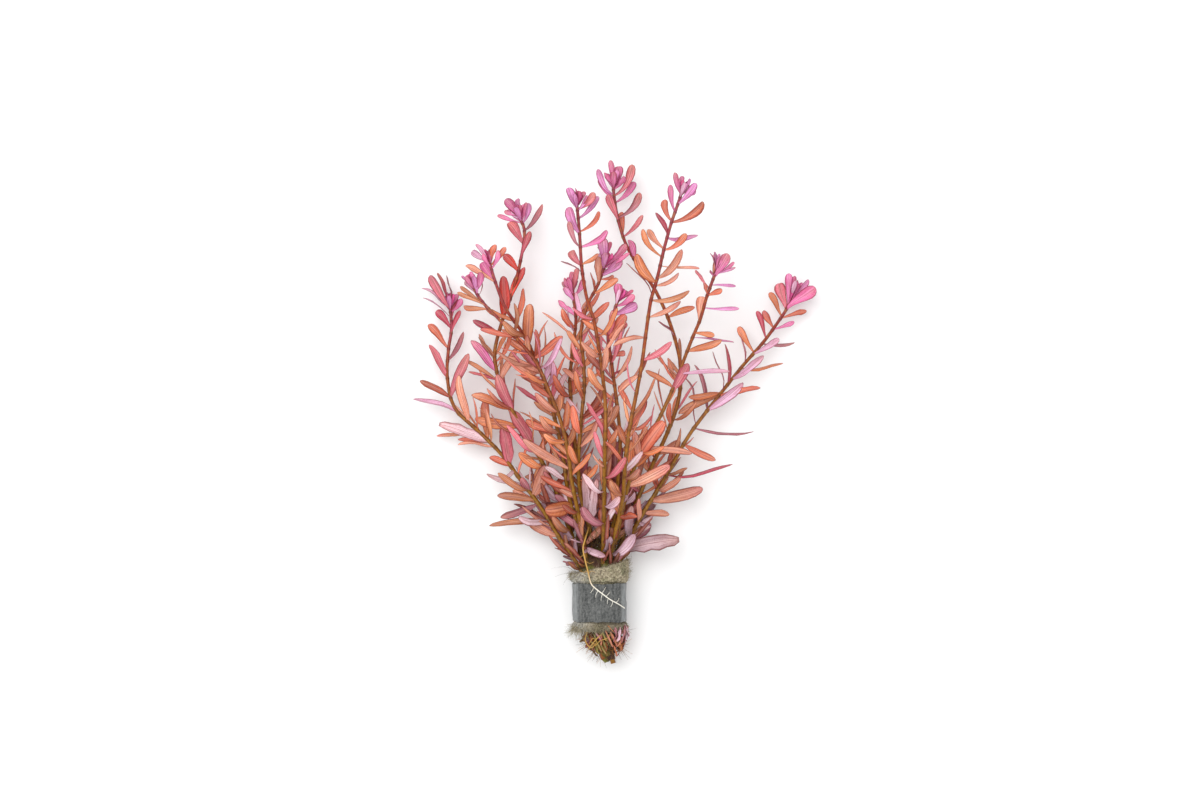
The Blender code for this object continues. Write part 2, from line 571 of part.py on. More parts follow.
def build_foam(group, cutters):
    """The foam wrap: a turned ring, pinched by the strip, slanted on top and flat below."""
    neck = STRIP_HALF + GAP
    outline = (
        (FOAM_SIDE, FOAM_HIGH), (FOAM_SIDE, neck + 1.5), (FOAM_SIDE - 0.7, neck),
        (FOAM_NECK, neck), (FOAM_NECK, -neck), (FOAM_SIDE - 0.8, -neck),
        (FOAM_SIDE - 0.7, FOAM_LOW + 1.4), (FOAM_SIDE - 1.7, FOAM_LOW),
        (FOAM_HOLE, FOAM_LOW), (FOAM_HOLE, neck - 0.9), (FOAM_MOUTH, FOAM_HIGH),
    )
    shape = bmesh.new()
    corners = [shape.verts.new((radius * MM, 0, height * MM)) for radius, height in outline]
    for corner, following in zip(corners, corners[1:] + corners[:1]):
        shape.edges.new((corner, following))
    mesh = bpy.data.meshes.new("foam_wrap")
    shape.to_mesh(mesh)
    shape.free()
    foam = add_object("foam_wrap", mesh, group, new_material("wrap_foam", "foam"))
    foam.rotation_euler.x = math.radians(-90)
    foam.location.z = AXIS_Z * MM
    screw = foam.modifiers.new("Turn", "SCREW")
    screw.steps = FOAM_STEPS
    screw.render_steps = FOAM_STEPS
    screw.use_merge_vertices = True
    screw.merge_threshold = 0.01 * MM
    reach = CUT_REACH * MM
    slant = math.radians(FOAM_SLANT)
    top = add_box("foam_top_cut", reach, cutters)
    top.rotation_euler.z = slant
    top.location = Vector((-math.sin(slant), math.cos(slant), 0)) * reach / 2
    top.location.y += FOAM_TOP * MM
    base = add_box("foam_base_cut", reach, cutters)
    base.location.z = FOAM_FLAT * MM - reach / 2
    for cutter in (top, base):
        add_boolean(foam, cutter, "DIFFERENCE")
    return foam


def add_box(name, size, cutters):
    shape = bmesh.new()
    bmesh.ops.create_cube(shape, size=size)
    mesh = bpy.data.meshes.new(name)
    shape.to_mesh(mesh)
    shape.free()
    box = add_object(name, mesh, cutters)
    hide_cutter(box)
    return box


def strip_point(angle, radius, floor):
    """A point of the strip's outline: on its circle, but no lower than the flat below."""
    x = radius * math.cos(math.radians(angle))
    z = radius * math.sin(math.radians(angle))
    return x * MM, max(z, floor - AXIS_Z) * MM


def build_strip(group):
    """The lead strip: bent once round, lapped over its own start, flattened underneath."""
    turn = 360 + STRIP_LAP
    outer = []
    inner = []
    for number in range(STRIP_STEPS + 1):
        swept = turn * number / STRIP_STEPS
        angle = STRIP_END + turn - swept
        lapped = max(0.0, min(1.0, (swept - (360 - STRIP_RISE)) / STRIP_RISE))
        radius = STRIP_OUT + (STRIP_THICK + GAP) * ease(lapped)
        outer.append(strip_point(angle, radius, 0))
        inner.append(strip_point(angle, radius - STRIP_THICK, STRIP_THICK))
    curve = bpy.data.curves.new("lead_strip", "CURVE")
    curve.dimensions = "2D"
    curve.fill_mode = "BOTH"
    curve.extrude = STRIP_HALF * MM
    outline = outer + inner[::-1]
    spline = curve.splines.new("POLY")
    spline.points.add(len(outline) - 1)
    for point, (x, z) in zip(spline.points, outline):
        point.co = (x, z, 0, 1)
    spline.use_cyclic_u = True
    strip = add_object("lead_strip", curve, group, new_material("strip_lead", "lead"))
    strip.rotation_euler.x = math.radians(90)
    strip.location.z = AXIS_Z * MM
    return strip


def build_root(cutters):
    points = [Vector(place) for place in ROOT_ROUTE]
    root = add_tube("root_line", points, [ROOT_RADIUS] * len(points), cutters)
    hide_cutter(root)
    return root


def grow_leaves(tubes, obstacles, cutters):
    """Give every stem its leaves, each one clear of the other stems and of their leaves."""
    trees = {name: [object_tree(tube)] for name, tube in tubes.items()}
    grown = {name: bmesh.new() for name in tubes}
    counts = dict.fromkeys(tubes, 0)
    paths = {stem["name"]: stem_path(stem) for stem in STEMS}
    for rule in (bud_leaves, read_leaves, scrap_leaves, fill_leaves):
        for stem in STEMS:
            name = stem["name"]
            others = [tree for key, found in trees.items() if key != name for tree in found]
            for leaf in rule(stem, paths[name]):
                fitted = fit_leaf(leaf, others + obstacles)
                if fitted is None:
                    continue
                shape = leaf_mesh(fitted)
                trees[name].append(search_tree(shape))
                mesh = bpy.data.meshes.new("leaf")
                shape.to_mesh(mesh)
                shape.free()
                grown[name].from_mesh(mesh)
                bpy.data.meshes.remove(mesh)
                counts[name] += 1
    for name, shape in grown.items():
        mesh = bpy.data.meshes.new(name + "_leaves")
        shape.to_mesh(mesh)
        shape.free()
        leaves = add_object(name + "_leaves", mesh, cutters)
        hide_cutter(leaves)
        add_boolean(tubes[name], leaves, "UNION")
    return counts


def fit_leaf(leaf, others):
    """The first of a leaf's places that is clear of everything else, or None."""
    for shrink in SHRINKS:
        for rise in RISES:
            tried = moved(leaf, rise, shrink)
            shape = leaf_mesh(tried, SWELL)
            tree = search_tree(shape)
            shape.free()
            if not any(crosses(tree, other) for other in others):
                return tried
    return None


def main():
    clear_scene()
    bunch = new_collection("rotala_bunch")
    cutters = new_collection("cutters")
    tubes = {stem["name"]: build_stem_tube(stem, bunch) for stem in STEMS}
    foam = build_foam(bunch, cutters)
    strip = build_strip(bunch)
    root = build_root(cutters)
    bpy.context.view_layer.update()
    obstacles = [object_tree(thing) for thing in (foam, strip, root)]
    counts = grow_leaves(tubes, obstacles, cutters)
    add_boolean(tubes[ROOT_STEM], root, "UNION")
    print("leaves", sum(counts.values()), counts)


main()
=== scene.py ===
"""A cut bunch of red rotala, lying down, its feet held in foam by a bent lead strip.

The tables are in millimetres, and MM turns them into the frame's metres. +Y runs up the bunch
from the strip to the crowns, +X across it and +Z away from the floor that it lies on.
"""

import functools
import math
import random

import bmesh
import bpy
import numpy as np
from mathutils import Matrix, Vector, noise
from mathutils.bvhtree import BVHTree
from mathutils.kdtree import KDTree


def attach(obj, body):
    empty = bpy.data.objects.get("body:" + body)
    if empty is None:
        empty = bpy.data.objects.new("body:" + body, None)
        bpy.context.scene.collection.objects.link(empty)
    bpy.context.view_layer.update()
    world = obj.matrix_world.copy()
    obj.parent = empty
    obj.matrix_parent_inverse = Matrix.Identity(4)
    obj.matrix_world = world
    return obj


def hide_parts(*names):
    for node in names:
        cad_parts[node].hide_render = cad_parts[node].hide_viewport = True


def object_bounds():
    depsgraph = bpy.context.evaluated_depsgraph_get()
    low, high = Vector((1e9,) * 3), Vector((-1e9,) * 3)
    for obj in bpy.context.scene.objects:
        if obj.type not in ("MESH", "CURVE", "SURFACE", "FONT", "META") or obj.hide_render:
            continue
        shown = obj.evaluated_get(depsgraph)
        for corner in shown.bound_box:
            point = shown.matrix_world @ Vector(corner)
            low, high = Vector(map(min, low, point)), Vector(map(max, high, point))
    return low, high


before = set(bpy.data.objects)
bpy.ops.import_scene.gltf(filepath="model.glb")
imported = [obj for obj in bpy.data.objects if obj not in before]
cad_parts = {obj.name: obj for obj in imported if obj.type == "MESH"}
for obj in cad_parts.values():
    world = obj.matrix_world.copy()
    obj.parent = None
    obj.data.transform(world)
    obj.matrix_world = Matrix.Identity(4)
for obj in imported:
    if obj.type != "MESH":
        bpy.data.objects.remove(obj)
CAD_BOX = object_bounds()

bl_info = {
    "name": "Rotala Bunch",
    "version": (1, 0, 0),
    "blender": (4, 5, 0),
    "location": "3D View > Sidebar > Rotala",
    "description": "Builds a bunch of cut rotala stems in foam and a lead strip",
    "category": "Add Mesh",
}

MM = 0.001

# The collar, as the solids have it
AXIS_Z = 10.6
STRIP_OUT = 10.9
STRIP_THICK = 0.8
STRIP_HALF = 7.6
STRIP_LAP = 25
STRIP_END = 27
STRIP_RISE = 90
STRIP_STEPS = 96
STRIP_ROWS = 12
STRIP_BEVEL = 0.22
GAP = 0.3
NECK = STRIP_HALF + GAP
FOAM_SIDE = 11.7
FOAM_NECK = 9.8
FOAM_HOLE = 7.2
FOAM_MOUTH = 9.3
FOAM_LOW = -11.6
FOAM_TOP = 14.0
FOAM_SLANT = 14.5
FOAM_FLAT = STRIP_THICK + GAP
FOAM_TALL = 18.0

# The foam's outline turned round the bunch: how wide it is and how far up the bunch
FOAM_OUTLINE = (
    (FOAM_SIDE - 0.5, FOAM_TALL), (FOAM_SIDE, FOAM_TALL - 0.8), (FOAM_SIDE, 15.0),
    (FOAM_SIDE, 12.4), (FOAM_SIDE - 0.1, 10.4), (FOAM_SIDE - 0.4, NECK + 0.8),
    (FOAM_SIDE - 1.2, NECK), (FOAM_NECK, NECK - 0.5), (FOAM_NECK, 0), (FOAM_NECK, 0.5 - NECK),
    (FOAM_SIDE - 1.2, -NECK), (FOAM_SIDE - 0.5, -NECK - 0.8), (FOAM_SIDE - 0.7, FOAM_LOW + 1.4),
    (FOAM_SIDE - 1.7, FOAM_LOW), (FOAM_HOLE + 1.2, FOAM_LOW - 0.2), (FOAM_HOLE, FOAM_LOW + 0.4),
    (FOAM_HOLE, 0), (FOAM_HOLE, NECK - 0.9), (FOAM_HOLE + 1, 12.0), (FOAM_MOUTH, FOAM_TALL - 1.0),
    (FOAM_MOUTH + 0.6, FOAM_TALL), (FOAM_SIDE - 0.5, FOAM_TALL),
)
FOAM_SIDES = 72

# Roughness in layers, coarse to fine: waves to a millimetre and depth in millimetres. The last
# one is for the patches of colour on the moss
FOAM_ROUGH = ((0.28, 0.4), (0.8, 0.3), (2.1, 0.22))
BED_ROUGH = ((0.35, 1.2), (1.1, 0.8), (3.0, 0.4))
BED_PATCHES = ((0.25, 2.2), (2.5, 0.6))

# The stems and how the leaves of the solids stand
STEM_FOOT = 1.05
COLLAR_Y = 11.6
STUB_CLOSE = 0.84
STUB_LEAN = 0.3
BOW = 0.07
PLAIN_BEND = 0.12
FACE_STEM = 0.8
EDGE_ON = 68
RISES = (0, 3, -3, 6, -6, 9, -9, 12, -12, 15)
SHRINKS = (1.0, 0.87, 0.75)
TIP_RISES = (2.5, -2.0, 0.5, 4.0)
BLADE_TURN = 18
YOUNG = 30
PAIR_STEP = (5.2, 7.8)
PAIR_OFFSET = 0.4
PAIR_WANDER = 25
PLAIN_SPREAD = (34, 64)
PLAIN_LENGTH = (11.5, 16.5)
PLAIN_WIDTH = (3.0, 4.4)
HALF_WAY = 66
LOW_WIDER = 2.0
BUD = (0.4, 5.5, 13, 2.6)
BUD_TURN = 38
SCRAP_FOOT = -12.9
SCRAP_REACH = 3.6
SCRAP_LEAN = 1.8
SCRAP_DROP = 2.6
SCRAP_WIDTH = 2.8
SCRAP_TURN = 30
INNER_RING = 3
TIP_MATCH = 0.12

# What is added to a stem's seed for each rule that draws at random
SEEDS = dict(more=100, dress=200, bark=300, further=400, rosette=500, rags=600, scraps=700)

# The root that trails over the collar
ROOT_STEM = "stem_06"
ROOT_ROUTE = (
    (-4.2, 30.0, 12.6), (-4.8, 28.0, 16.8), (-5.6, 25.4, 20.2), (-6.5, 21.6, 22.2),
    (-5.6, 16.8, 22.8), (-4.5, 12.4, 22.8), (-3.4, 8.0, 22.9), (-1.7, 6.0, 23.3),
    (1.0, 3.9, 23.4), (4.2, 1.5, 22.7), (7.2, -0.2, 21.2), (8.7, -1.2, 19.9),
    (10.0, -2.1, 18.5),
)

# The root's side roots, seen from above, and how far from the collar's middle they lie
ROOT_LIFT = 12.75
SIDE_ROOTS = (
    ((-2.2, 6.5), (-3.0, 4.8), (-3.6, 4.2)), ((-0.6, 5.0), (-1.4, 3.4), (-1.5, 2.2)),
    ((0.9, 4.0), (1.8, 5.2), (2.5, 6.4)), ((1.2, 3.8), (0.7, 2.2), (0.6, 0.9)),
    ((2.6, 2.7), (3.6, 3.8), (4.3, 4.5)), ((3.5, 2.0), (3.1, 0.6), (3.2, -0.4)),
    ((5.2, 0.9), (5.0, -0.4), (4.4, -1.4)), ((6.3, 0.2), (7.3, 0.9), (7.7, 2.0)),
    ((-4.7, 13.0), (-6.0, 12.2), (-7.0, 12.6)), ((-4.4, 12.0), (-3.0, 12.8), (-1.6, 12.2)),
    ((-5.5, 16.6), (-3.9, 15.8), (-2.2, 16.4)), ((-6.2, 19.4), (-7.6, 18.2), (-8.4, 18.6)),
)

# Old roots looped among the cut ends, and the half thickness of each kind at its start and end
OLD_ROOTS = (
    ((-4.8, -11.4, 17.4), (-5.6, -15.0, 18.0), (-3.4, -17.8, 17.8), (-1.2, -15.6, 18.4),
     (-2.6, -14.0, 18.8), (-4.0, -16.2, 18.4)),
    ((1.6, -11.8, 19.2), (-0.6, -13.6, 20.2), (-2.8, -16.2, 19.4), (-4.6, -18.6, 16.8)),
    ((4.8, -11.8, 18.0), (3.0, -14.0, 19.2), (0.2, -15.0, 19.4), (-1.6, -17.2, 18.2)),
)
ROOT_THICK = (0.32, 0.2)
SIDE_ROOT_THICK = (0.11, 0.05)
OLD_ROOT_THICK = (0.26, 0.14)

# The stems as the solids have them. tints: the colour of each leaf read from the photo, by the
# letters of TINTS. more: how many further leaves stand between the solids' leaves, and from
# which height to which
STEMS = (
    dict(
        name="stem_01", ring=(5.4, 180), high=(10, 6), end=-15.4, bud=0.8, seed=11,
        fill=(20, 50, 0.4), bend=0, more=(24, 72, 12),
        route=((-59.8, 119.2), (-59, 109.2), (-60.2, 100.4), (-60.6, 89.2), (-57.4, 76.8),
               (-48.2, 68), (-39.4, 59.2), (-31, 48), (-23, 37.2), (-15.8, 25.2), (-6.6, 11.6)),
        tints="dpprccccodrrbpwsrOowtdtdssv",
        leaves=((119, -60.9, 130, 2, EDGE_ON), (117, -71, 125, 2, EDGE_ON),
                (113, -70.5, 121.2, 2, EDGE_ON), (116.8, -67.4, 130, 4.5), (119, -64.6, 131, 1.8),
                (112, -57.1, 121.6, 2.6), (108.8, -65, 116, 3.6), (107, -55.4, 116, 2.2),
                (100.8, -68.2, 110.4, 3.6), (96, -54.2, 107.6, 3, EDGE_ON),
                (89, -67.8, 102.4, 3.2), (81.2, -52, 98.8, 4), (81.2, -71.4, 88, 3),
                (75, -74.2, 80.8, 3, EDGE_ON), (63.6, -63.8, 70.8, 5), (71.2, -55.8, 90.4, 4),
                (54.8, -38.6, 69.2, 5.6), (64.4, -45.4, 81.2, 4), (54, -43.8, 57.6, 3),
                (52.4, -37.6, 48.8, 2), (40.4, -40.6, 42.4, 3.6), (39.2, -39.4, 33.6, 3.4),
                (32.4, -43.8, 30.4, 3), (44, -31, 49.6, 3.4), (42, -21.4, 54.4, 5.5),
                (26, -28.6, 32, 4), (14.5, -17.5, 27.5, 4.5)),
    ),
    dict(
        name="stem_02", ring=(5.4, 135), high=(24, 22), end=-17.2, bud=0.6, seed=12,
        fill=(22, 106, 0.68), bend=0, more=(22, 100, 18),
        route=((-50.6, 126.8), (-47.8, 121.2), (-44.6, 117.2), (-39.4, 112), (-31.8, 103.6),
               (-25, 95.2), (-19.8, 83.6), (-15.4, 72.4), (-12.6, 60.8), (-11, 48.4),
               (-7.8, 32.4), (-4.2, 11.6)),
        tints="lpdtttosv",
        leaves=((122, -50, 129.3, 2.7), (122, -52.9, 128.1, 2.4),
                (121.5, -46.3, 131.5, 2, EDGE_ON), (119.2, -55, 125.2, 2),
                (117.5, -56.2, 122.8, 2), (116.4, -53.8, 117.2, 3), (96.8, -14.6, 105.6, 3.6),
                (52.8, -30.4, 65.2, 4), (22, 2.4, 18.6, 3.4, 0, 5)),
    ),
    dict(
        name="stem_03", ring=(2.2, 157), high=(15, 20), end=-22.6, bud=0.7, seed=13,
        fill=(22, 112, 0.64), bend=0, more=(22, 105, 18),
        route=((-43.8, 135.6), (-41, 126.4), (-37, 116.4), (-30.2, 106.4), (-23.8, 93.2),
               (-19.8, 80.4), (-16.6, 68.4), (-14.2, 56.4), (-11.8, 40.4), (-5.4, 22.4),
               (-3, 11.6)),
        tints="ppmooksOsocO",
        leaves=((135.2, -48.9, 142, 2.1), (135, -50.6, 139.3, 3), (135.4, -45.9, 139.9, 2),
                (135, -40.8, 141.7, 3), (133.5, -37.1, 140.8, 2.5), (127.6, -46.5, 135, 4),
                (127, -53, 133.6, 3), (102.4, -27.4, 118.4, 5), (90.4, -36.5, 97.5, 3.2),
                (67, -29.4, 72.4, 3.6), (75, -33.2, 86, 2), (38.4, -21.6, 37, 7)),
    ),
    dict(
        name="stem_04", ring=(5.4, 225), high=(12, 14), end=-14.6, bud=0.8, seed=14,
        fill=(20, 60, 0.5), bend=0, more=(22, 100, 14),
        route=((-32.2, 154), (-29.8, 147.6), (-31.4, 135.6), (-34.2, 124.4), (-38.6, 112),
               (-41.6, 100.4), (-41.4, 94.8), (-39, 84.8), (-35, 76.8), (-27.8, 64.4),
               (-22.2, 54.4), (-17.4, 44.4), (-11.8, 28.4), (-5.8, 11.6)),
        tints="klkdkkrcRRRcksrrOOcv",
        leaves=((152.3, -37.3, 160.1, 4.1), (151.4, -32.5, 160.5, 3), (153, -37.8, 155.3, 2),
                (147.6, -22.6, 158, 3, EDGE_ON), (151.2, -29, 158.8, 2), (150.8, -40.6, 153.8, 2),
                (142.4, -36.2, 150.8, 5), (135.6, -27.4, 147.2, 3), (131.6, -38, 138, 4.6),
                (120.4, -29.8, 133.2, 3.6), (113.2, -38.2, 129.6, 5), (107.2, -50.2, 112, 3),
                (91.6, -51, 104, 4), (86.8, -33, 101.2, 3.6), (62, -35.4, 76.4, 5.5),
                (76, -40.6, 90.6, 5), (76.6, -50.8, 82.4, 4), (69.5, -49.6, 73, 4.6),
                (88, -52, 91.6, 1.4), (24.4, -20.6, 35, 5)),
    ),
    dict(
        name="stem_05", ring=(5.4, 90), high=(34, 38), end=-18.8, bud=0.8, seed=15,
        fill=(26, 118, 0.56), bend=0.2, more=(24, 110, 16),
        route=((-9, 158.4), (-7.8, 145.2), (-7, 132.8), (-5, 120.4), (-2.2, 111.6),
               (-0.2, 100.4), (1.4, 88.4), (2.4, 76.8), (2.2, 64.4), (1.9, 46.8), (1.8, 32.4),
               (1, 11.6)),
        tints="lmmlrlodkrdO",
        leaves=((156.4, -12.3, 163.6, 4), (157.2, -9.6, 163.8, 2, EDGE_ON),
                (156.5, -6.7, 161, 2, EDGE_ON), (145.6, -11.8, 156, 4.4),
                (155.2, -2.2, 161.8, 3.4), (151.6, -0.6, 160.4, 3), (146.4, -0.2, 154.4, 2.6),
                (140.4, -12, 150.4, 2.6), (140.4, 3, 146.8, 3.4), (133.2, -10.8, 139.2, 4),
                (130, -15.2, 134.9, 2.6, EDGE_ON), (133.6, -0.4, 137.6, 2.4)),
    ),
    dict(
        name="stem_06", ring=(2.2, 247), high=(22, 20), end=-24.0, bud=0, seed=16,
        fill=(24, 112, 0.6), bend=0.1, more=(24, 110, 16),
        route=((2.6, 135), (1.4, 131.6), (-1, 125.2), (-4.6, 118.4), (-7.4, 107.2),
               (-6.4, 96.4), (-6, 86), (-7, 74.8), (-8.2, 58), (-7.8, 44.4), (-3.8, 28.4),
               (-1.4, 11.6)),
        tints="lmkkldoOsoww",
        leaves=((134, 1.2, 144.6, 4.8), (134.4, 4.5, 143.1, 2), (133.6, 10.5, 142.2, 3.6),
                (132.4, 11.9, 138.5, 2), (129.6, 8.4, 136.4, 4.4),
                (131.4, -0.8, 141, 1.6, EDGE_ON), (128.2, 5.7, 129.5, 1.8),
                (122.4, 7.3, 128.3, 3.2), (126.6, -0.4, 137.2, 4), (123, -3.6, 131, 1.6, EDGE_ON),
                (36, -6.6, 50.4, 4, 0, 12), (31, -0.8, 49.2, 5, 0, 12)),
    ),
    dict(
        name="stem_07", ring=(5.4, 315), high=(12, 12), end=-13.8, bud=0, seed=17,
        fill=(22, 90, 0.4), bend=0.24, more=(22, 95, 12),
        route=((5.4, 167.6), (5.8, 161.2), (7.8, 150.4), (11.4, 140.4), (16.2, 132.8),
               (22.2, 124), (27.8, 111.6), (31.8, 97.6), (32.4, 91.6), (31.4, 80.4),
               (27.4, 68.4), (21, 54.4), (14.2, 38.4), (8.2, 22.4), (5, 11.6)),
        tints="kkrlkkdrrokOdsb",
        leaves=((166, 4.3, 175.6, 2.6), (164, 7.8, 173.4, 4.8), (161.5, 13, 174, 3.8),
                (162, -0.6, 172, 2.8), (160.4, -0.2, 168.4, 3.2), (158.8, 14, 167.2, 3.2),
                (152.8, 16, 162.8, 3.4), (145.2, 17.2, 153.7, 2.6), (151.6, 3.4, 162, 3.6),
                (146, 8.6, 155.2, 2.8), (136.4, 11.4, 144, 3), (113.2, 37.8, 117.2, 2.8),
                (105, 23.4, 111.6, 2.6, EDGE_ON), (59, 32, 64.4, 4), (32, 13, 44, 6)),
    ),
    dict(
        name="stem_08", ring=(5.4, 45), high=(38, 42), end=-16.4, bud=0.8, seed=18,
        fill=(26, 76, 0.3), bend=0.2, more=(22, 90, 14),
        route=((32.4, 162.4), (30.6, 156.8), (28.2, 150), (25.4, 140), (22.5, 127.6),
               (20.2, 119.6), (18.2, 106.4), (16.6, 94.4), (14.2, 81.6), (11.8, 69.2),
               (10.2, 56.4), (9, 40.4), (5, 22.4), (4.0, 11.6)),
        tints="kkllkoocolsOsssObstrssv",
        leaves=((161, 29.5, 169.4, 2.8), (161, 32.7, 168.2, 2.4), (161.6, 35.5, 167.1, 1.8),
                (157, 37.8, 165.1, 3.3), (153.9, 27.8, 164.6, 2.6), (150.4, 25.7, 159, 3.4),
                (150, 40.6, 158, 4.2), (144.8, 21.9, 153.6, 3, EDGE_ON),
                (139.2, 33.9, 145.5, 3.2), (144, 38.6, 144.9, 3, EDGE_ON), (139.6, 19, 147.2, 3),
                (136.4, 16.9, 147.2, 2.6), (128, 32.2, 139.3, 3.4), (133, 39.2, 132, 1.4),
                (125.2, 31, 130.2, 2), (126.4, 14.6, 137.6, 4.6), (121.2, 10.6, 134, 3, EDGE_ON),
                (112.8, 31.8, 119.2, 2.4), (119.6, 35.2, 123.2, 2.6), (96, 28.2, 103.2, 3),
                (104.8, 5.4, 101.6, 2.4), (90.4, 7.4, 83.6, 3), (19, 14, 27.2, 4.6, 0, 3)),
    ),
    dict(
        name="stem_09", ring=(2.2, 67), high=(27, 30), end=-21.2, bud=0, seed=19,
        fill=(26, 60, 0.42), bend=0, more=(24, 80, 12),
        route=((47, 134), (44.6, 127.6), (42.2, 120.8), (39.8, 112.4), (36.6, 104.8),
               (32.6, 94.4), (29.4, 86), (24.2, 74.4), (18.2, 63.2), (12.6, 50.8), (9, 36.4),
               (5.8, 22.4), (1.8, 11.6)),
        tints="kskkorllosl" + "OOlrpOssos",
        leaves=((128.5, 50.5, 138, 4.4), (128, 47.5, 135, 4.4), (131, 43.6, 138.2, 2, EDGE_ON),
                (129, 43.5, 131.4, 1.2), (121.7, 41, 126.5, 1.8), (124.4, 37.8, 131.6, 1.6),
                (130, 53.6, 132.6, 1.2), (125.6, 53.6, 125.2, 1.4), (121.6, 48.2, 124, 2.8),
                (111.2, 40.6, 121.2, 4.4), (116.8, 55, 116.4, 1.8), (106.8, 45.2, 105.6, 2.8),
                (99.6, 48.2, 104, 3.4), (105, 53, 103.2, 1.2), (84, 35, 94.8, 4.6),
                (90.8, 51.4, 91.6, 2), (85.2, 18.2, 92, 2.6), (61.6, 36.5, 59.2, 3),
                (46.4, 27.8, 54.4, 5), (58, 25.5, 72, 6), (57.2, 13.6, 68, 3.6)),
    ),
    dict(
        name="stem_10", ring=(5.4, 0), high=(13, 6), end=-16.0, bud=0, seed=20,
        fill=(24, 45, 0.3), bend=0, more=(20, 60, 9),
        route=((77.4, 124.4), (74.6, 116.8), (71.8, 112.4), (65.4, 103.6), (57, 94), (47.4, 82),
               (37.8, 69.6), (33.4, 62.8), (29.8, 56), (23, 44.4), (17.4, 35.6), (13, 27.6),
               (9, 18.4), (6.4, 11.6)),
        tints="krlkmkOocOrccdrOtokdpOpopdocssvw",
        leaves=((118, 75.3, 130.8, 3.8), (116.6, 71.8, 127, 5), (118, 83.3, 128.4, 3),
                (116.6, 86, 125, 5.6), (118.5, 77.8, 129.8, 2.4), (118, 79.4, 127, 4),
                (113.6, 67.7, 123.2, 3), (109, 65.3, 116, 3), (104.8, 62.6, 115.8, 2.6),
                (99.2, 55.4, 109.6, 3.2), (94.8, 56, 106, 3, EDGE_ON),
                (86.6, 49.8, 102.6, 3, EDGE_ON), (83.8, 45, 99.6, 3, EDGE_ON),
                (76.2, 37.8, 94.4, 3, EDGE_ON), (70.4, 33.6, 89.6, 3, EDGE_ON),
                (83.2, 35.4, 81.6, 3), (83, 31.4, 75, 3.6), (112.8, 82.6, 116, 2.4),
                (108.4, 77.6, 111.6, 2), (102.8, 77.6, 103.2, 2, EDGE_ON), (98.4, 71.4, 104.8, 3),
                (93.2, 73.2, 95, 2, EDGE_ON), (88.4, 65.3, 98, 3.2), (82, 63.8, 85.2, 2.6),
                (76.2, 57, 87.2, 4.2), (69.2, 61.3, 67.8, 2, EDGE_ON), (62.8, 46.1, 56.5, 3.2),
                (50.6, 52.8, 54.9, 2, EDGE_ON), (40.4, 41, 45.2, 5.2), (35.6, 27.8, 34.8, 3.2),
                (32, 20, 30, 2), (21, 31.6, 25, 7.4)),
    ),
    dict(
        name="stem_11", ring=(5.4, 270), high=(10, 10), end=-14.2, bud=0.8, seed=21,
        fill=(22, 114, 0.74), bend=0, more=(22, 112, 16),
        route=((-10.8, 125.4), (-10.2, 120), (-9.4, 112.4), (-10.6, 100.4), (-11.8, 88.4),
               (-11, 76.4), (-9.8, 64.4), (-8.6, 52.4), (-6.6, 40.4), (-3.8, 26.4), (-2.2, 11.6)),
        tints="kdlr",
        leaves=((123.4, -11.3, 131.4, 3.4), (121.6, -14.8, 127.5, 1.6), (119.4, -14.2, 125.2, 3),
                (123.6, -8.4, 132.8, 3)),
    ),
    dict(
        name="stem_12", ring=(2.2, 337), high=(26, 24), end=-24.4, bud=0.8, seed=22,
        fill=(22, 106, 0.68), bend=0, more=(22, 104, 16),
        route=((7.7, 120.8), (5.8, 115.6), (3.4, 106.4), (4.6, 96.4), (6.2, 84.4), (7.4, 74.4),
               (8.2, 64.4), (7.4, 50.4), (6.2, 36.4), (4.2, 22.4), (2.6, 11.6)),
        tints="kmlorocMvk",
        leaves=((119, 7.3, 126.4, 4), (118.6, 13.4, 123.8, 1.5), (114, 14.8, 118.3, 4.4),
                (104, 10.4, 114, 4.2), (108, 11, 110.5, 3), (97.4, 10.2, 99, 2.6),
                (90.8, 11, 93, 1.4), (45, 7.4, 64, 6.5), (40, 11.4, 42.5, 3), (41, 9.4, 50.4, 4)),
    ),
)

# The leaf colours by their letters, and the letters that plain leaves draw from in each zone:
# near the crown, in the upper half, in the lower half, over the foam and below it. HEART and
# ROSETTE are for the young leaves round a tip, and RAG for the old ones over the foam. Scraps
# under the strip have two sets, far right first, and those at the tail two, left and right.
# TIP is what any leaf's tip turns to
TINTS = dict(p="pale", l="lilac", m="magenta", k="pink", r="rose", d="dusky", c="crimson",
             R="red", o="coral", s="salmon", O="orange", t="tan", b="brown", M="maroon",
             v="mauve", w="veined", g="olive", u="rust")
CROWN_TINTS = "kklrro"
UPPER_TINTS = "rroosstOp"
LOWER_TINTS = "osstOObtwr"
# Over the foam the brown and maroon letters stand partly for the shade between the stems: painted
# shade
FOAM_TINTS = "vbMbsdvbtw"
SCRAP_TINTS = "ubMgtvdbuv"
HEART_TINTS = "mmlk"
ROSETTE_TINTS = "lkklp"
RAG_TINTS = "vdbstbdvu"
STRIP_SCRAP_TINTS = ("vdwus", "ugbt")
TAIL_SCRAP_TINTS = ("ggug", "uutOb")
TIP_TINTS = "osrdts"
CROWN_DEEP = 14
UPPER_DEEP = 52
FOAM_NEAR = 42

# The next four groups are for leaves that only this scene has. Angles are in degrees, and two
# numbers are the range of what is drawn, where nothing else is said.
# Young leaves round a stem's tip, their sizes from the innermost to the outermost
ROSETTE = 9
ROSETTE_TURN = 137.5
ROSETTE_SPREAD = (9, 44)
ROSETTE_LENGTH = (4.2, 8.4)
ROSETTE_WIDTH = (1.7, 3.5)
HEART = 0.45

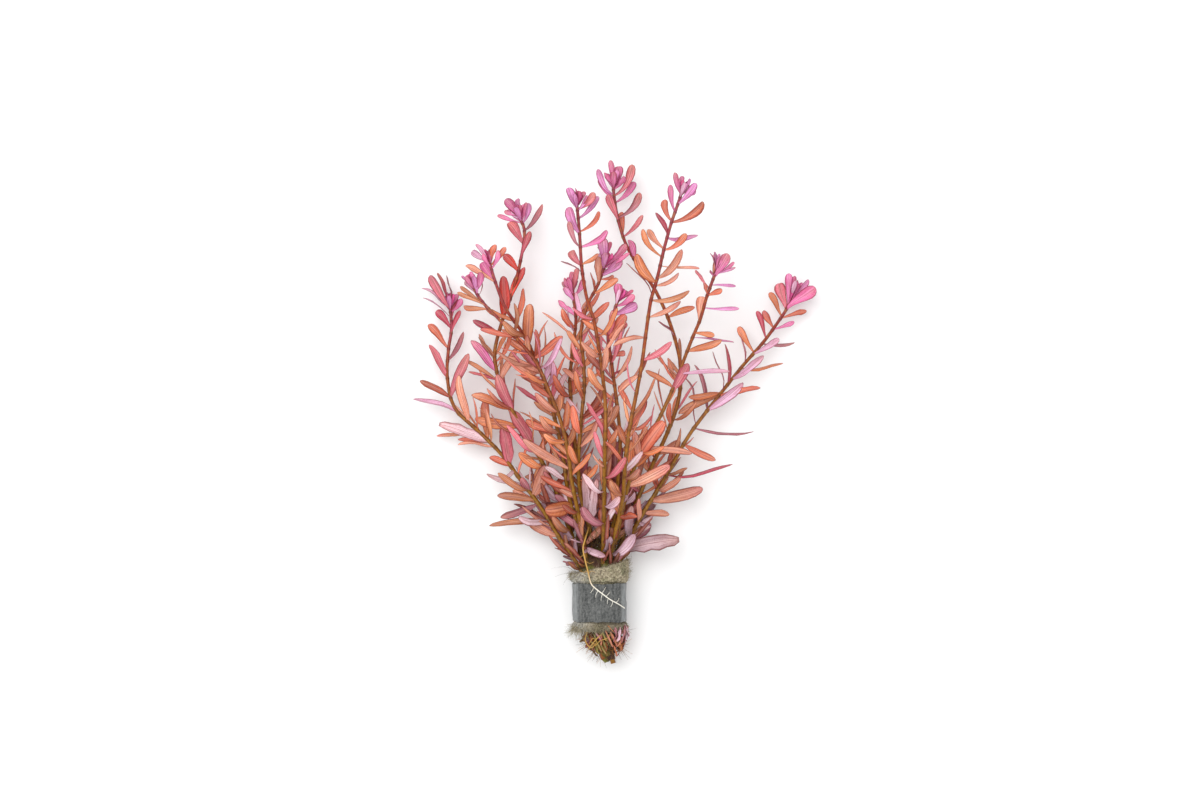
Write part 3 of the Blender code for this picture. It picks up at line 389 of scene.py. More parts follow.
# Old leaves of the outer stems: how many each has just over the foam and how many under it, and
# how many more over it on the left, every second of which droops. The next two have ranges for
# the tilt, the length and the width
RAGS = (11, 3)
RAGS_LEFT = 34
RAG_ASIDE = 55
RAG_OVER = (13, 25)
RAG_LEAN = ((8, 48), (6, 14), (1.8, 3.8))
RAG_DROOP = ((55, 105), (4, 8.5), (1.4, 2.8))
RAG_UNDER = (FOAM_LOW - 1.6, FOAM_LOW - 0.4)
UNDER_OUT = (2.0, 4.6)
UNDER_DOWN = (1.5, 5.5)
UNDER_WIDTH = (2.4, 4.0)

# Scraps round the cut ends, some of the right ones out from under the strip
SCRAPS = 24
SCRAP_ASIDE = 34
SCRAP_TOP = (-16.5, -11.5)
SCRAP_STRIP_TOP = (-11.5, -8.6)
SCRAP_LENGTH = (3.2, 8.0)
SCRAP_SLANT = 0.7
SCRAP_LIFT = (-0.4, 1.4)
SCRAP_WIDE = (1.0, 2.5)

# Leaves between the solids' own: how many for one in the table, and how they stand
MORE = 2.7
MORE_LOW = 1.3
MORE_SPREAD = (18, 58)
MORE_LENGTH = (10.5, 18)
MORE_WIDTH = (1.7, 2.9)
MORE_BEND = (-0.4, 2.2)
STRAP_THIN = 0.55

# How such a leaf finds its place: how far its tip is moved and how much it is made smaller, how
# near a stem in view it may lie above it, and how high the bunch may be
CLEAR_SHRINKS = (1.0, 0.8)
CLEAR_RISES = (0, 4, -4, 8, -8)
SMALL_RISES = (0, 1, -1)
STEM_CLEAR = 1.15
OUTER_PART = 0.3
TOP = CAD_BOX[1][2] / MM + 0.5

# How one leaf differs from the next, for leaves of a rule and for those read from the photo
TWIST = 38
FOLDS = (0.5, 2.2)
WAVE_HEIGHTS = (0.2, 1.3)
WAVES = (0.8, 2.2)
SWAY = 0.05
PLAIN_SLIM = (0.55, 0.86)
READ_SLIM = 0.94
PLAIN_TONE = (0.8, 1.72)
READ_TONE = (0.88, 1.28)
TIP_BLEND = (0.0, 0.6)

# Leaves are darker deep in the bunch, which is lower, nearer to the foam and further right than
# these places, over these spans, and those by rule also near the foam. This is painted shade,
# with some of the darker colour that inner leaves have
DEEP_Z = (20, 16)
DEEP_Y = (95, 60)
DEEP_X = (-34, 26)
DEEP_SHADE_DARK = 0.44
FOAM_SHADE = (19, 15)
FOAM_SHADE_DARK = 0.36

# A blade: from where it twists, how far apart the waves of its two sides are, where its tip's
# colour begins and over which share it comes, how pale its underside is, and its least height
TWIST_FROM = 0.3
SIDES_APART = 0.8
TIP_COLOUR = (0.45, 0.55)
UNDER_PALE = 0.3
FLOOR_GAP = 0.05

# A bare stem: how far apart its rings and its pairs of leaves are, the swelling at each pair,
# its taper, the heights where its bark changes colour, and how dark a swelling is
RING_STEP = 3.2
RING_APART = 0.45
PAIR_APART = 2.4
SWELL_BELOW = 0.9
SWELL_ABOVE = 0.7
STEM_TAPER = 0.8
STEM_TIP_SHARE = 0.6
BARK_STOPS = (44, 90)
YOUNG_BARK = 4
BARK_SHIFT = (-12, 10)
FOOT_BARK = (6, 14)
SWELL_DARK = 0.45

# Fibres of the foam, strands of moss, the thickness of those below the foam and over it, and
# how much thinner any of them is at its end
FIBRE_SEED = 31
FIBRE_ARC = (-40, 220)
FIBRES_ABOVE = 0.72
FIBRE_LENGTH = (0.6, 2.2)
FIBRE_THICK = 0.055
LEFT_FIBRES_LONGER = 2.1
MOSS_SEED = 47
MOSS_BELOW = 0.42
MOSS_LENGTH = (2, 6)
MOSS_THICK = (0.1, 0.13)
HAIR_THICK = 0.09
STRAND_THINNER = 0.65

# The stage, in metres
FLOOR_SIZE = 6
LIGHT_PLACE = (-0.35, 0.45, 1.3)
LIGHT_AIM = (0, 0.08, 0)
LIGHT_SIZE = 1.0
CAMERA_X = 0.0002
CAMERA_Y = 0.0804

# Leaf blanks: half widths at these shares of the length, from the foot to the tip
COLUMNS = 4
LEAF_LONG = 14.0
LEAF_WIDE = 4.0
BLANKS = {
    "spoon": ((0, 0.14, 0.30, 0.47, 0.63, 0.77, 0.89, 0.967, 1.0),
              (0.20, 0.31, 0.47, 0.70, 0.90, 1.0, 0.88, 0.56, 0.16)),
    "lance": ((0, 0.08, 0.20, 0.35, 0.52, 0.68, 0.82, 0.94, 1.0),
              (0.16, 0.34, 0.62, 0.86, 0.97, 1.0, 0.88, 0.56, 0.14)),
    "broad": ((0, 0.07, 0.18, 0.32, 0.50, 0.68, 0.84, 0.955, 1.0),
              (0.18, 0.42, 0.72, 0.92, 0.99, 1.0, 0.88, 0.56, 0.16)),
    "strap": ((0, 0.10, 0.24, 0.40, 0.56, 0.72, 0.85, 0.955, 1.0),
              (0.20, 0.48, 0.74, 0.94, 1.0, 0.92, 0.68, 0.36, 0.06)),
    "ragged": ((0, 0.10, 0.22, 0.36, 0.50, 0.64, 0.78, 0.91, 1.0),
               (0.20, 0.58, 0.74, 0.96, 0.90, 1.0, 0.82, 0.66, 0.28)),
}
STRAND_STEPS = 4

# What nodes take: the inputs of a node that mixes colours, how it mixes, how a range is eased,
# and the shader's inputs by short names
MIX_INPUTS = (0, 6, 7)
BLEND = dict(data_type="RGBA")
MULTIPLY = dict(BLEND, blend_type="MULTIPLY")
SCREEN = dict(BLEND, blend_type="SCREEN")
SMOOTH = dict(interpolation_type="SMOOTHSTEP")
SHADER_INPUTS = dict(colour="Base Color", normal="Normal", roughness="Roughness",
                     metallic="Metallic", ior="IOR")

# The materials of a plant, in the order of their slots
PLANT_MATERIALS = ("rotala_stem_smooth_skin", "rotala_leaf_waxy_cuticle",
                   "rotala_root_moist_skin")
STEM_SLOT, LEAF_SLOT, ROOT_SLOT = range(3)

# The bundle of old leaves below the strip: its half width and its middle at these heights
STUB_YS = (-24.5, -19.0, -14.0, -11.0, -8.4)
STUB_WIDE = (2.6, 5.4, 7.8, 9.4, 11.3)
STUB_MIDDLE = (3.4, 3.0, 2.2, 1.2, 0.2)

# Lumps of moss in the collar: place across and along the bunch, half width and half depth. The
# first, over the foam, is a dark mass between the stems that is partly moss and partly painted
# shade
# HAIRS: dark loose hairs, each with its start, its way to the right and up, and its length
MOSS_BEDS = ((0.0, 13.6, 7.6, 6.6), (1.8, -14.0, 5.4, 6.0), (3.4, -18.4, 3.0, 5.2))
HAIRS = (
    (-10.5, 11.0, 12.0, -1, 0.6, 6.0), (-11.0, 13.0, 13.0, -1, 1.2, 5.5),
    (-11.2, 10.4, 11.0, -1, -0.2, 4.0), (-9.0, -9.4, 17.0, -1, -1.2, 5.5),
    (-10.0, -10.0, 14.0, -1, -0.4, 4.0), (10.2, -10.4, 13.0, 1, -0.8, 3.6),
    (11.2, 14.6, 13.0, 1, 0.7, 4.2), (10.8, 16.0, 14.0, 0.4, 1, 3.6),
)


def linear(text):
    """A colour written as sRGB hex, turned to linear red, green and blue."""
    shares = [int(text[start:start + 2], 16) / 255 for start in (0, 2, 4)]
    return tuple(s / 12.92 if s <= 0.04045 else ((s + 0.055) / 1.055) ** 2.4 for s in shares)


def tint(name, text, description):
    """A colour setting with its default given as sRGB hex."""
    return bpy.props.FloatVectorProperty(name=name, description=description, size=3, min=0, max=1,
                                         subtype="COLOR", default=linear(text))


def length(name, millimetres, description):
    """A length setting with its default given in millimetres."""
    return bpy.props.FloatProperty(name=name, description=description, unit="LENGTH",
                                   default=millimetres * MM, min=0, precision=5)


class RotalaLeafColours(bpy.types.PropertyGroup):
    """The colours of the leaves, from the crowns down to the foam"""

    pale: tint("Pale pink", "E3A6C8", "Outer petals of the palest crowns")
    lilac: tint("Lilac pink", "D57DB8", "Young leaves of most crowns")
    magenta: tint("Magenta", "C2357C", "The heart of a crown")
    pink: tint("Pink", "DA6A9F", "Young leaves under a crown")
    rose: tint("Rose", "CC6270", "Leaves of the upper stems")
    dusky: tint("Dusky rose", "A9626F", "Leaves seen on edge")
    crimson: tint("Crimson", "B33A50", "Narrow dark leaves")
    red: tint("Red", "C63528", "The bright red leaves on the left")
    coral: tint("Coral", "D0654A", "Most leaves of the middle")
    salmon: tint("Salmon", "DA8B70", "Lighter leaves of the middle")
    orange: tint("Orange", "CE7246", "Leaves that turn orange")
    tan: tint("Tan", "BE744E", "Leaves that dry at the edge")
    brown: tint("Brown red", "96422C", "Shaded old leaves")
    maroon: tint("Maroon", "5E2420", "The darkest old leaves")
    mauve: tint("Mauve", "C9A2B2", "Faded leaves over the foam")
    veined: tint("Faded pink", "DCB6BF", "The palest faded leaves")
    olive: tint("Olive", "6B6A1E", "Rotten leaves at the cut ends")
    rust: tint("Rust", "A85C26", "Scraps that dry at the cut ends")


class RotalaPlantSettings(bpy.types.PropertyGroup):
    """Sizes and colours of the stems and roots"""

    thickness: length("Leaf thickness", 0.16, "Thickness of a leaf blade")
    fold: length("Leaf fold", 0.45, "How far a leaf's edges stand above its midrib")
    wave: length("Leaf wave", 0.42, "How far a leaf's edges wave up and down")
    tip_radius: length("Stem tip", 0.6, "Radius of a stem just under its crown")
    node_swell: bpy.props.FloatProperty(
        name="Node swelling", description="Share that a stem thickens where a pair of leaves sits",
        default=0.22, min=0, max=1)
    young_bark: tint("Young bark", "A23E50", "Stem colour under the crown")
    red_bark: tint("Red bark", "9A301A", "Stem colour of the upper half")
    brown_bark: tint("Brown bark", "98500C", "Stem colour of the middle")
    gold_bark: tint("Gold bark", "9C6C0E", "Stem colour over the foam")
    # Painted shade: the dark the bark takes along both sides of a stem, where the round stem turns
    # from the light
    side_shade_bark: tint("Side bark", "5C1C08", "Stem colour along both sides")
    olive_bark: tint("Olive bark", "7A7724", "Colour of some stems at their cut ends")
    root_tan: tint("Root", "C79A4A", "Colour of the root over the foam")
    root_white: tint("Root tip", "F0ECDF", "Colour of the root over the strip")


class RotalaCollarSettings(bpy.types.PropertyGroup):
    """Colours of the foam, the moss and the strip, and how many fibres and moss strands there are
    """

    foam_pale: tint("Pale foam", "AFA288", "Foam where it is clean")
    foam_green: tint("Green foam", "6E6C4C", "Foam where algae grow on it")
    # Painted highlight on the tips of the foam's cells
    foam_cell_highlight: tint("Light foam", "E2DCBE", "Foam at the tips of its cells")
    # Used for the painted shade in the pits and the painted shadow below the strip
    foam_dark: tint("Dark foam", "4A4034", "Foam in its pits")
    foam_grey: tint("Grey foam", "A09F9B", "Foam on the side that lead has rubbed")
    moss_brown: tint("Brown moss", "4C2E1E", "Dead moss between the stems")
    moss_green: tint("Green moss", "6A6A20", "Living moss between the stems")
    moss_straw: tint("Straw", "A8722E", "Rotted threads round the cut ends")
    lead_dark: tint("Dark lead", "3C3E3E", "Dull grey skin of the lead")
    lead_light: tint("Light lead", "7A7B79", "Lead where it is rubbed")
    # Painted reflection: the light band along both sides of the strip
    lead_side_reflection: tint("Worn lead", "A4A7A8", "Lead along the bend on its left side")
    fibres: bpy.props.IntProperty(name="Fibres", default=2000, min=0, max=4000,
                                  description="How many loose fibres stand out of the foam")
    moss: bpy.props.IntProperty(name="Moss strands", default=1700, min=0, max=4000,
                                description="How many strands the moss has")


class RotalaStageSettings(bpy.types.PropertyGroup):
    """The floor, the light and the camera"""

    floor: tint("Floor", "F7F7F7", "Colour of the floor")
    light: bpy.props.FloatProperty(name="Light", description="Power of the main light",
                                   default=10, min=0, unit="POWER")
    sky: bpy.props.FloatProperty(name="Sky", description="Strength of the even light all round",
                                 default=0.92, min=0)
    height: length("Camera height", 2000, "Height of the camera over the floor")
    lens: bpy.props.FloatProperty(name="Lens", description="Focal length of the camera",
                                  default=150, min=1, unit="CAMERA")


def ease(amount):
    return amount * amount * (3 - 2 * amount)


def mix(start, end, amount):
    return start + (end - start) * amount


def clamp(amount):
    return min(1.0, max(0.0, amount))


def cubic(start, leave, end, reach, share):
    """A point of the cubic that leaves its start and reaches its end at these slopes."""
    square, cube = share ** 2, share ** 3
    return (start * (2 * cube - 3 * square + 1) + leave * (cube - 2 * square + share)
            + end * (3 * square - 2 * cube) + reach * (cube - square))


def outward(angle):
    """The direction out from the collar's middle at an angle in radians."""
    return Vector((math.cos(angle), 0, math.sin(angle)))


def layered(place, layers):
    """Noise in layers, each with its scale and its depth."""
    return sum(noise.noise(place * scale) * deep for scale, deep in layers)


def stem_height(stem, y):
    """Height of a stem above the floor where it is y along the bunch."""
    radius, angle = stem["ring"]
    foot = AXIS_Z + radius * math.sin(math.radians(angle))
    middle, crown = stem["high"]
    if y < HALF_WAY:
        return mix(foot, middle, ease((y - COLLAR_Y) / (HALF_WAY - COLLAR_Y)))
    top = stem["route"][0][1]
    return mix(middle, crown, ease((y - HALF_WAY) / (top - HALF_WAY)))


def stem_path(stem):
    """Points of a stem from its tip down through the foam to its cut end."""
    points = [Vector((x, y, stem_height(stem, y))) for x, y in stem["route"]]
    radius, angle = stem["ring"]
    across = radius * math.cos(math.radians(angle))
    above = radius * math.sin(math.radians(angle))
    points.append(Vector((across, 5.0, AXIS_Z + above)))
    points.append(Vector((across, FOAM_LOW, AXIS_Z + above)))
    lean = STUB_LEAN * (FOAM_LOW - stem["end"])
    end = Vector((across * STUB_CLOSE + lean, stem["end"], AXIS_Z + above * STUB_CLOSE))
    points.append(end)
    return points


def at_height(path, y):
    """Point of a stem at height y along the bunch, and its direction towards the crown."""
    for upper, lower in zip(path, path[1:]):
        if lower.y <= y <= upper.y:
            share = (y - lower.y) / (upper.y - lower.y)
            return lower.lerp(upper, share), (upper - lower).normalized()
    return path[0].copy(), (path[0] - path[1]).normalized()


def below_tip(path, distance):
    """Point of a stem at a distance below its tip, and its direction towards the crown."""
    for upper, lower in zip(path, path[1:]):
        span = (upper - lower).length
        if distance <= span:
            return upper.lerp(lower, distance / span), (upper - lower).normalized()
        distance -= span
    return path[-1].copy(), (path[-2] - path[-1]).normalized()


def smooth_place(path, y):
    """Point of the rounded stem at height y: a cubic through the path's points."""
    for number in range(len(path) - 1):
        upper, lower = path[number], path[number + 1]
        if lower.y <= y <= upper.y or number == len(path) - 2:
            before = path[max(number - 1, 0)]
            after = path[min(number + 2, len(path) - 1)]
            step = lower.y - upper.y
            leave = (lower - before) / (lower.y - before.y) * step
            reach = (after - upper) / (after.y - upper.y) * step
            place = cubic(upper, leave, lower, reach, (y - upper.y) / step)
            place.y = y
            return place
    return path[0].copy()


def facing_up(along, turn):
    """The direction that a blade faces: as far up as it can, then turned on its midrib."""
    up = Vector((0, 0, 1))
    face = (up - along * up.dot(along)).normalized()
    side = along.cross(face)
    angle = math.radians(turn)
    return face * math.cos(angle) + side * math.sin(angle)


def bend_away(way, stem_way, amount):
    """How a leaf bends: off its stem where it points up the stem, and back where it droops."""
    along = way.dot(stem_way)
    return (way * along - stem_way) * along * amount


def spread_leaf(foot, stem_way, azimuth, spread, long, width):
    """A leaf that leaves its stem at a spread and an azimuth, half turned to face up."""
    side = stem_way.cross(Vector((0, 0, 1))).normalized()
    lift = side.cross(stem_way)
    angle = math.radians(azimuth)
    outward = side * math.cos(angle) + lift * math.sin(angle)
    tilt = math.radians(spread)
    way = stem_way * math.cos(tilt) + outward * math.sin(tilt)
    inner = stem_way * math.sin(tilt) - outward * math.cos(tilt)
    face = facing_up(way, 0)
    if inner.dot(face) < 0:
        inner = -inner
    face = (face + inner * FACE_STEM).normalized()
    return dict(foot=foot, tip=foot + way * long, width=width, face=face,
                bend=bend_away(way, stem_way, PLAIN_BEND))


def zone_tints(stem, height):
    """The letters that a plain leaf's colour is drawn from at a height of its stem."""
    below = stem["route"][0][1] - height
    if below < CROWN_DEEP:
        return CROWN_TINTS
    if height < FOAM_NEAR:
        return FOAM_TINTS
    return UPPER_TINTS if below < UPPER_DEEP else LOWER_TINTS


def bud_leaves(stem, path):
    """The pair of buds at a stem's tip, where the leaves read from the photo show one."""
    size = stem["bud"]
    if not size:
        return []
    below, long, spread, width = BUD
    foot, way = below_tip(path, below * size)
    return [dict(spread_leaf(foot, way, BUD_TURN + side, spread, long * size, width * size),
                 blank="lance", tints="m") for side in (0, 180)]


def read_leaves(stem, path):
    grown = []
    for number, (height, tip_x, tip_y, width, *more) in enumerate(stem["leaves"]):
        turn = more[0] if more else 0
        rise = more[1] if len(more) > 1 else TIP_RISES[number % len(TIP_RISES)]
        foot, stem_way = at_height(path, height)
        tip = Vector((tip_x, tip_y, foot.z + rise))
        way = (tip - foot).normalized()
        face = facing_up(way, turn + BLADE_TURN * (-1) ** number)
        blank = "spoon" if height > path[0].y - YOUNG else "lance"
        if turn:
            blank = "strap"
        elif stem["tints"][number] == "w":
            blank = "ragged"
        elif width >= 5 and blank == "lance":
            blank = "broad"
        bend = bend_away(way, stem_way, 0 if turn else stem["bend"])
        grown.append(dict(foot=foot, tip=tip, width=width, face=face, bend=bend, blank=blank,
                          tints=stem["tints"][number]))
    return grown


def fill_leaves(stem, path):
    low, high, share = stem["fill"]
    draw = random.Random(stem["seed"])
    grown = []
    height = high
    number = 0
    while height > low:
        for side in (0, 180):
            azimuth = 45 + 90 * number + side + draw.uniform(-PAIR_WANDER, PAIR_WANDER)
            spread = draw.uniform(*PLAIN_SPREAD)
            long = draw.uniform(*PLAIN_LENGTH)
            wider = LOW_WIDER * max(0, 1 - height / HALF_WAY)
            width = draw.uniform(*PLAIN_WIDTH) + wider
            if draw.random() < share:
                foot, way = at_height(path, height - PAIR_OFFSET * (side > 0))
                leaf = spread_leaf(foot, way, azimuth, spread, long, width)
                blank = "broad" if height < HALF_WAY / 2 else "lance"
                grown.append(dict(leaf, blank=blank, tints=zone_tints(stem, height)))
        height -= draw.uniform(*PAIR_STEP)
        number += 1
    return grown


def scrap_leaves(stem, path):
    """The rag of an old leaf on the outer stems, just below the foam."""
    radius, angle = stem["ring"]
    if radius < INNER_RING:
        return []
    foot, _ = at_height(path, SCRAP_FOOT)
    out = outward(math.radians(angle))
    tip = foot + out * (SCRAP_REACH + SCRAP_LEAN * out.x) - Vector((0, SCRAP_DROP, 0))
    way = (tip - foot).normalized()
    return [dict(foot=foot, tip=tip, width=SCRAP_WIDTH, face=facing_up(way, SCRAP_TURN),
                 bend=Vector(), blank="ragged", tints=SCRAP_TINTS)]


def more_leaves(stem, path):
    """Further leaves between the solids' own, denser towards the foam."""
    low, high, count = stem["more"]
    draw = random.Random(stem["seed"] + SEEDS["more"])
    grown = []
    for _ in range(int(count * MORE)):
        height = low + (high - low) * draw.random() ** MORE_LOW
        foot, way = at_height(path, height)
        wider = LOW_WIDER * max(0, 1 - height / HALF_WAY)
        leaf = spread_leaf(foot, way, draw.uniform(0, 360), draw.uniform(*MORE_SPREAD),
                           draw.uniform(*MORE_LENGTH), draw.uniform(*MORE_WIDTH) + wider)
        blank = "broad" if height < HALF_WAY / 2 else "lance"
        if draw.random() < 0.5:
            blank = "strap"
            leaf["width"] *= STRAP_THIN
        leaf["bend"] *= draw.uniform(*MORE_BEND)
        grown.append(dict(leaf, blank=blank, tints=zone_tints(stem, height)))
    return grown


def rosette_leaves(stem, path):
    """The young leaves round a stem's tip, the inner ones small, upright and deep pink."""
    draw = random.Random(stem["seed"] + SEEDS["rosette"])
    grown = []
    for number in range(ROSETTE):
        out = number / (ROSETTE - 1)
        foot, way = below_tip(path, 0.3 + 3.4 * out)
        leaf = spread_leaf(foot, way, ROSETTE_TURN * number + draw.uniform(-20, 20),
                           mix(*ROSETTE_SPREAD, out) + draw.uniform(-6, 6),
                           mix(*ROSETTE_LENGTH, out) * draw.uniform(0.85, 1.1),
                           mix(*ROSETTE_WIDTH, out) * draw.uniform(0.85, 1.15))
        tints = HEART_TINTS if out < HEART else ROSETTE_TINTS
        grown.append(dict(leaf, blank="spoon", tints=tints, rosette=True))
    return grown


def rag_leaves(stem, path):
    """Old leaves of the outer stems that lean out just over the foam and just under it."""
    radius, angle = stem["ring"]
    if radius < INNER_RING:
        return []
    draw = random.Random(stem["seed"] + SEEDS["rags"])
    grown = []
    over = RAGS[0] + (RAGS_LEFT if abs(angle - 180) < 60 else 0)
    for number in range(over + RAGS[1]):
        under = number >= over
        foot, _ = at_height(path, draw.uniform(*(RAG_UNDER if under else RAG_OVER)))
        out = outward(math.radians(angle + draw.uniform(-RAG_ASIDE, RAG_ASIDE)))
        if under:
            reach = out * draw.uniform(*UNDER_OUT) - Vector((0, draw.uniform(*UNDER_DOWN), 0))
            width = draw.uniform(*UNDER_WIDTH)
        else:
            droops = number >= RAGS[0] and number % 2 == 0
            tilts, lengths, widths = RAG_DROOP if droops else RAG_LEAN
            tilt = math.radians(draw.uniform(*tilts))
            long = draw.uniform(*lengths)
            reach = (out * math.sin(tilt) + Vector((0, math.cos(tilt), 0))) * long
            width = draw.uniform(*widths)
        way = reach.normalized()
        face = facing_up(way, draw.uniform(-RAG_ASIDE, RAG_ASIDE))
        grown.append(dict(foot=foot, tip=foot + reach, width=width, face=face,
                          bend=bend_away(way, Vector((0, 1, 0)), 0 if under else 0.1),
                          blank="ragged" if draw.random() < 0.7 else "broad",
                          tints=SCRAP_TINTS if under else RAG_TINTS, rag=True))
    return grown


def stub_place(angle, y, lift):
    """A point on the bundle of old leaves below the strip, at an angle round it."""
    wide = float(np.interp(y, STUB_YS, STUB_WIDE)) + lift
    middle = float(np.interp(y, STUB_YS, STUB_MIDDLE))
    turn = math.radians(angle)
    return Vector((middle + wide * math.cos(turn), y, AXIS_Z + wide * math.sin(turn)))


def scrap_tints(to_right, top, tip):
    """The letters of a scrap by how far right it starts, how high it starts and its tip."""
    if to_right > -0.1 and top > -12.5:
        return STRIP_SCRAP_TINTS[0 if to_right > 0.45 else 1]
    if tip.y < -15:
        return TAIL_SCRAP_TINTS[0 if tip.x < 3.6 else 1]
    return SCRAP_TINTS


def stub_scraps(stem, path):
    """Scraps of old leaves that wrap the cut ends, the upper ones out from under the strip."""
    radius, angle = stem["ring"]
    if radius < INNER_RING:
        return []
    draw = random.Random(stem["seed"] + SEEDS["scraps"])
    grown = []
    for _ in range(SCRAPS):
        turn = angle + draw.uniform(-SCRAP_ASIDE, SCRAP_ASIDE)
        to_right = math.cos(math.radians(turn))
        top = draw.uniform(*SCRAP_TOP)
        if to_right > -0.1 and draw.random() < 0.55:
            top = draw.uniform(*SCRAP_STRIP_TOP)
        long = draw.uniform(*SCRAP_LENGTH)
        slant = draw.uniform(-SCRAP_SLANT, SCRAP_SLANT)
        foot = stub_place(turn, top, 0)
        end = top - long * math.cos(slant)
        tip = stub_place(turn + math.degrees(long * math.sin(slant) / 7), end,
                         draw.uniform(*SCRAP_LIFT))
        way = (tip - foot).normalized()
        out = outward(math.radians(turn))
        face = (out - way * out.dot(way)).normalized()
        grown.append(dict(foot=foot, tip=tip, width=draw.uniform(*SCRAP_WIDE), face=face,
                          bend=Vector(), blank=draw.choice(("ragged", "ragged", "strap")),
                          tints=scrap_tints(to_right, top, tip), rag=True, loose=True))
    return grown


def moved(leaf, rise, shrink):
    """The same leaf with its tip raised and the whole of it made smaller."""
    tip = leaf["foot"] + (leaf["tip"] - leaf["foot"]) * shrink + Vector((0, 0, rise))
    tip.z = max(tip.z, 0)
    way = (tip - leaf["foot"]).normalized()
    face = (leaf["face"] - way * leaf["face"].dot(way)).normalized()
    return dict(leaf, tip=tip, face=face, width=leaf["width"] * shrink)


def corner_tree(name):
    """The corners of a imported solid, for finding a leaf by its tip."""
    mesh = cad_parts[name].data
    tree = KDTree(len(mesh.vertices))
    for number, vertex in enumerate(mesh.vertices):
        tree.insert(vertex.co / MM, number)
    tree.balance()
    return tree


def face_tree(places, faces):
    """A tree of faces and the box round it, for finding what crosses it."""
    places = [Vector(place) for place in places]
    low = Vector([min(place[axis] for place in places) for axis in range(3)])
    high = Vector([max(place[axis] for place in places) for axis in range(3)])
    return BVHTree.FromPolygons(places, faces), low, high


def crosses(one, other):
    tree, low, high = one
    other_tree, other_low, other_high = other
    if any(low[axis] > other_high[axis] or high[axis] < other_low[axis] for axis in range(3)):
        return False
    return bool(tree.overlap(other_tree))


def node_tree(name):
    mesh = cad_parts[name].data
    places = [vertex.co / MM for vertex in mesh.vertices]
    return face_tree(places, [tuple(face.vertices) for face in mesh.polygons])


def deselect():
    for thing in bpy.context.selected_objects:
        thing.select_set(False)
    bpy.context.view_layer.objects.active = None


def take(thing):
    """Make one object the only selected one and the active one."""
    deselect()
    thing.select_set(True)
    bpy.context.view_layer.objects.active = thing


def pick(thing, test):
    """Select the vertices of the object in edit mode that pass a test of their place."""
    shape = bmesh.from_edit_mesh(thing.data)
    for vertex in shape.verts:
        vertex.select = test(vertex.co)
    shape.select_mode = {"VERT"}
    shape.select_flush_mode()
    bmesh.update_edit_mesh(thing.data)


def apply_modifier(thing, kind, **settings):
    """Add one modifier with its settings and apply it."""
    take(thing)
    modifier = thing.modifiers.new(kind.title(), kind)
    for key, value in settings.items():
        setattr(modifier, key, value)
    bpy.ops.object.modifier_apply(modifier=modifier.name)


def close_up(thing):
    """Merge what meets and turn all faces outwards."""
    take(thing)
    bpy.ops.object.mode_set(mode="EDIT")
    bpy.ops.mesh.select_all(action="SELECT")
    bpy.ops.mesh.remove_doubles(threshold=0.002 * MM)
    bpy.ops.mesh.normals_make_consistent(inside=False)
    bpy.ops.object.mode_set(mode="OBJECT")


def finish_piece(thing, name, slot, *nodes, material=None):
    """Name a piece, give it its material where it has none yet, and bind it to the frame."""
    thing.name = name
    thing.data.name = name
    if material:
        thing.data.materials.append(material)
    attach(thing, "root")
    if nodes:
        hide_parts(*nodes)


def plug(socket, value):
    """Give an input a constant, or a link from a socket or from what a node mainly gives."""
    if isinstance(value, bpy.types.Node):
        value = value.outputs[2 if value.bl_idname == "ShaderNodeMix" else 0]
    if isinstance(value, bpy.types.NodeSocket):
        socket.id_data.links.new(value, socket)
    else:
        socket.default_value = value


def add_node(tree, kind, inputs=(), **settings):
    """Add a shader node with its settings and inputs, which go by name or in their order."""
    made = tree.nodes.new("ShaderNode" + kind)
    for key, value in settings.items():
        setattr(made, key, value)
    order = MIX_INPUTS if kind == "Mix" else range(len(inputs))
    for key, value in inputs.items() if isinstance(inputs, dict) else zip(order, inputs):
        plug(made.inputs[key], value)
    return made


def new_material(name):
    """A material, what adds a node to it, and its shader."""
    material = bpy.data.materials.new(name)
    material.use_nodes = True
    add = functools.partial(add_node, material.node_tree)
    return material, add, material.node_tree.nodes["Principled BSDF"]


def set_shader(shader, **looks):
    """Plug nodes and constants into a shader's inputs."""
    for key, value in looks.items():
        plug(shader.inputs[SHADER_INPUTS[key]], value)


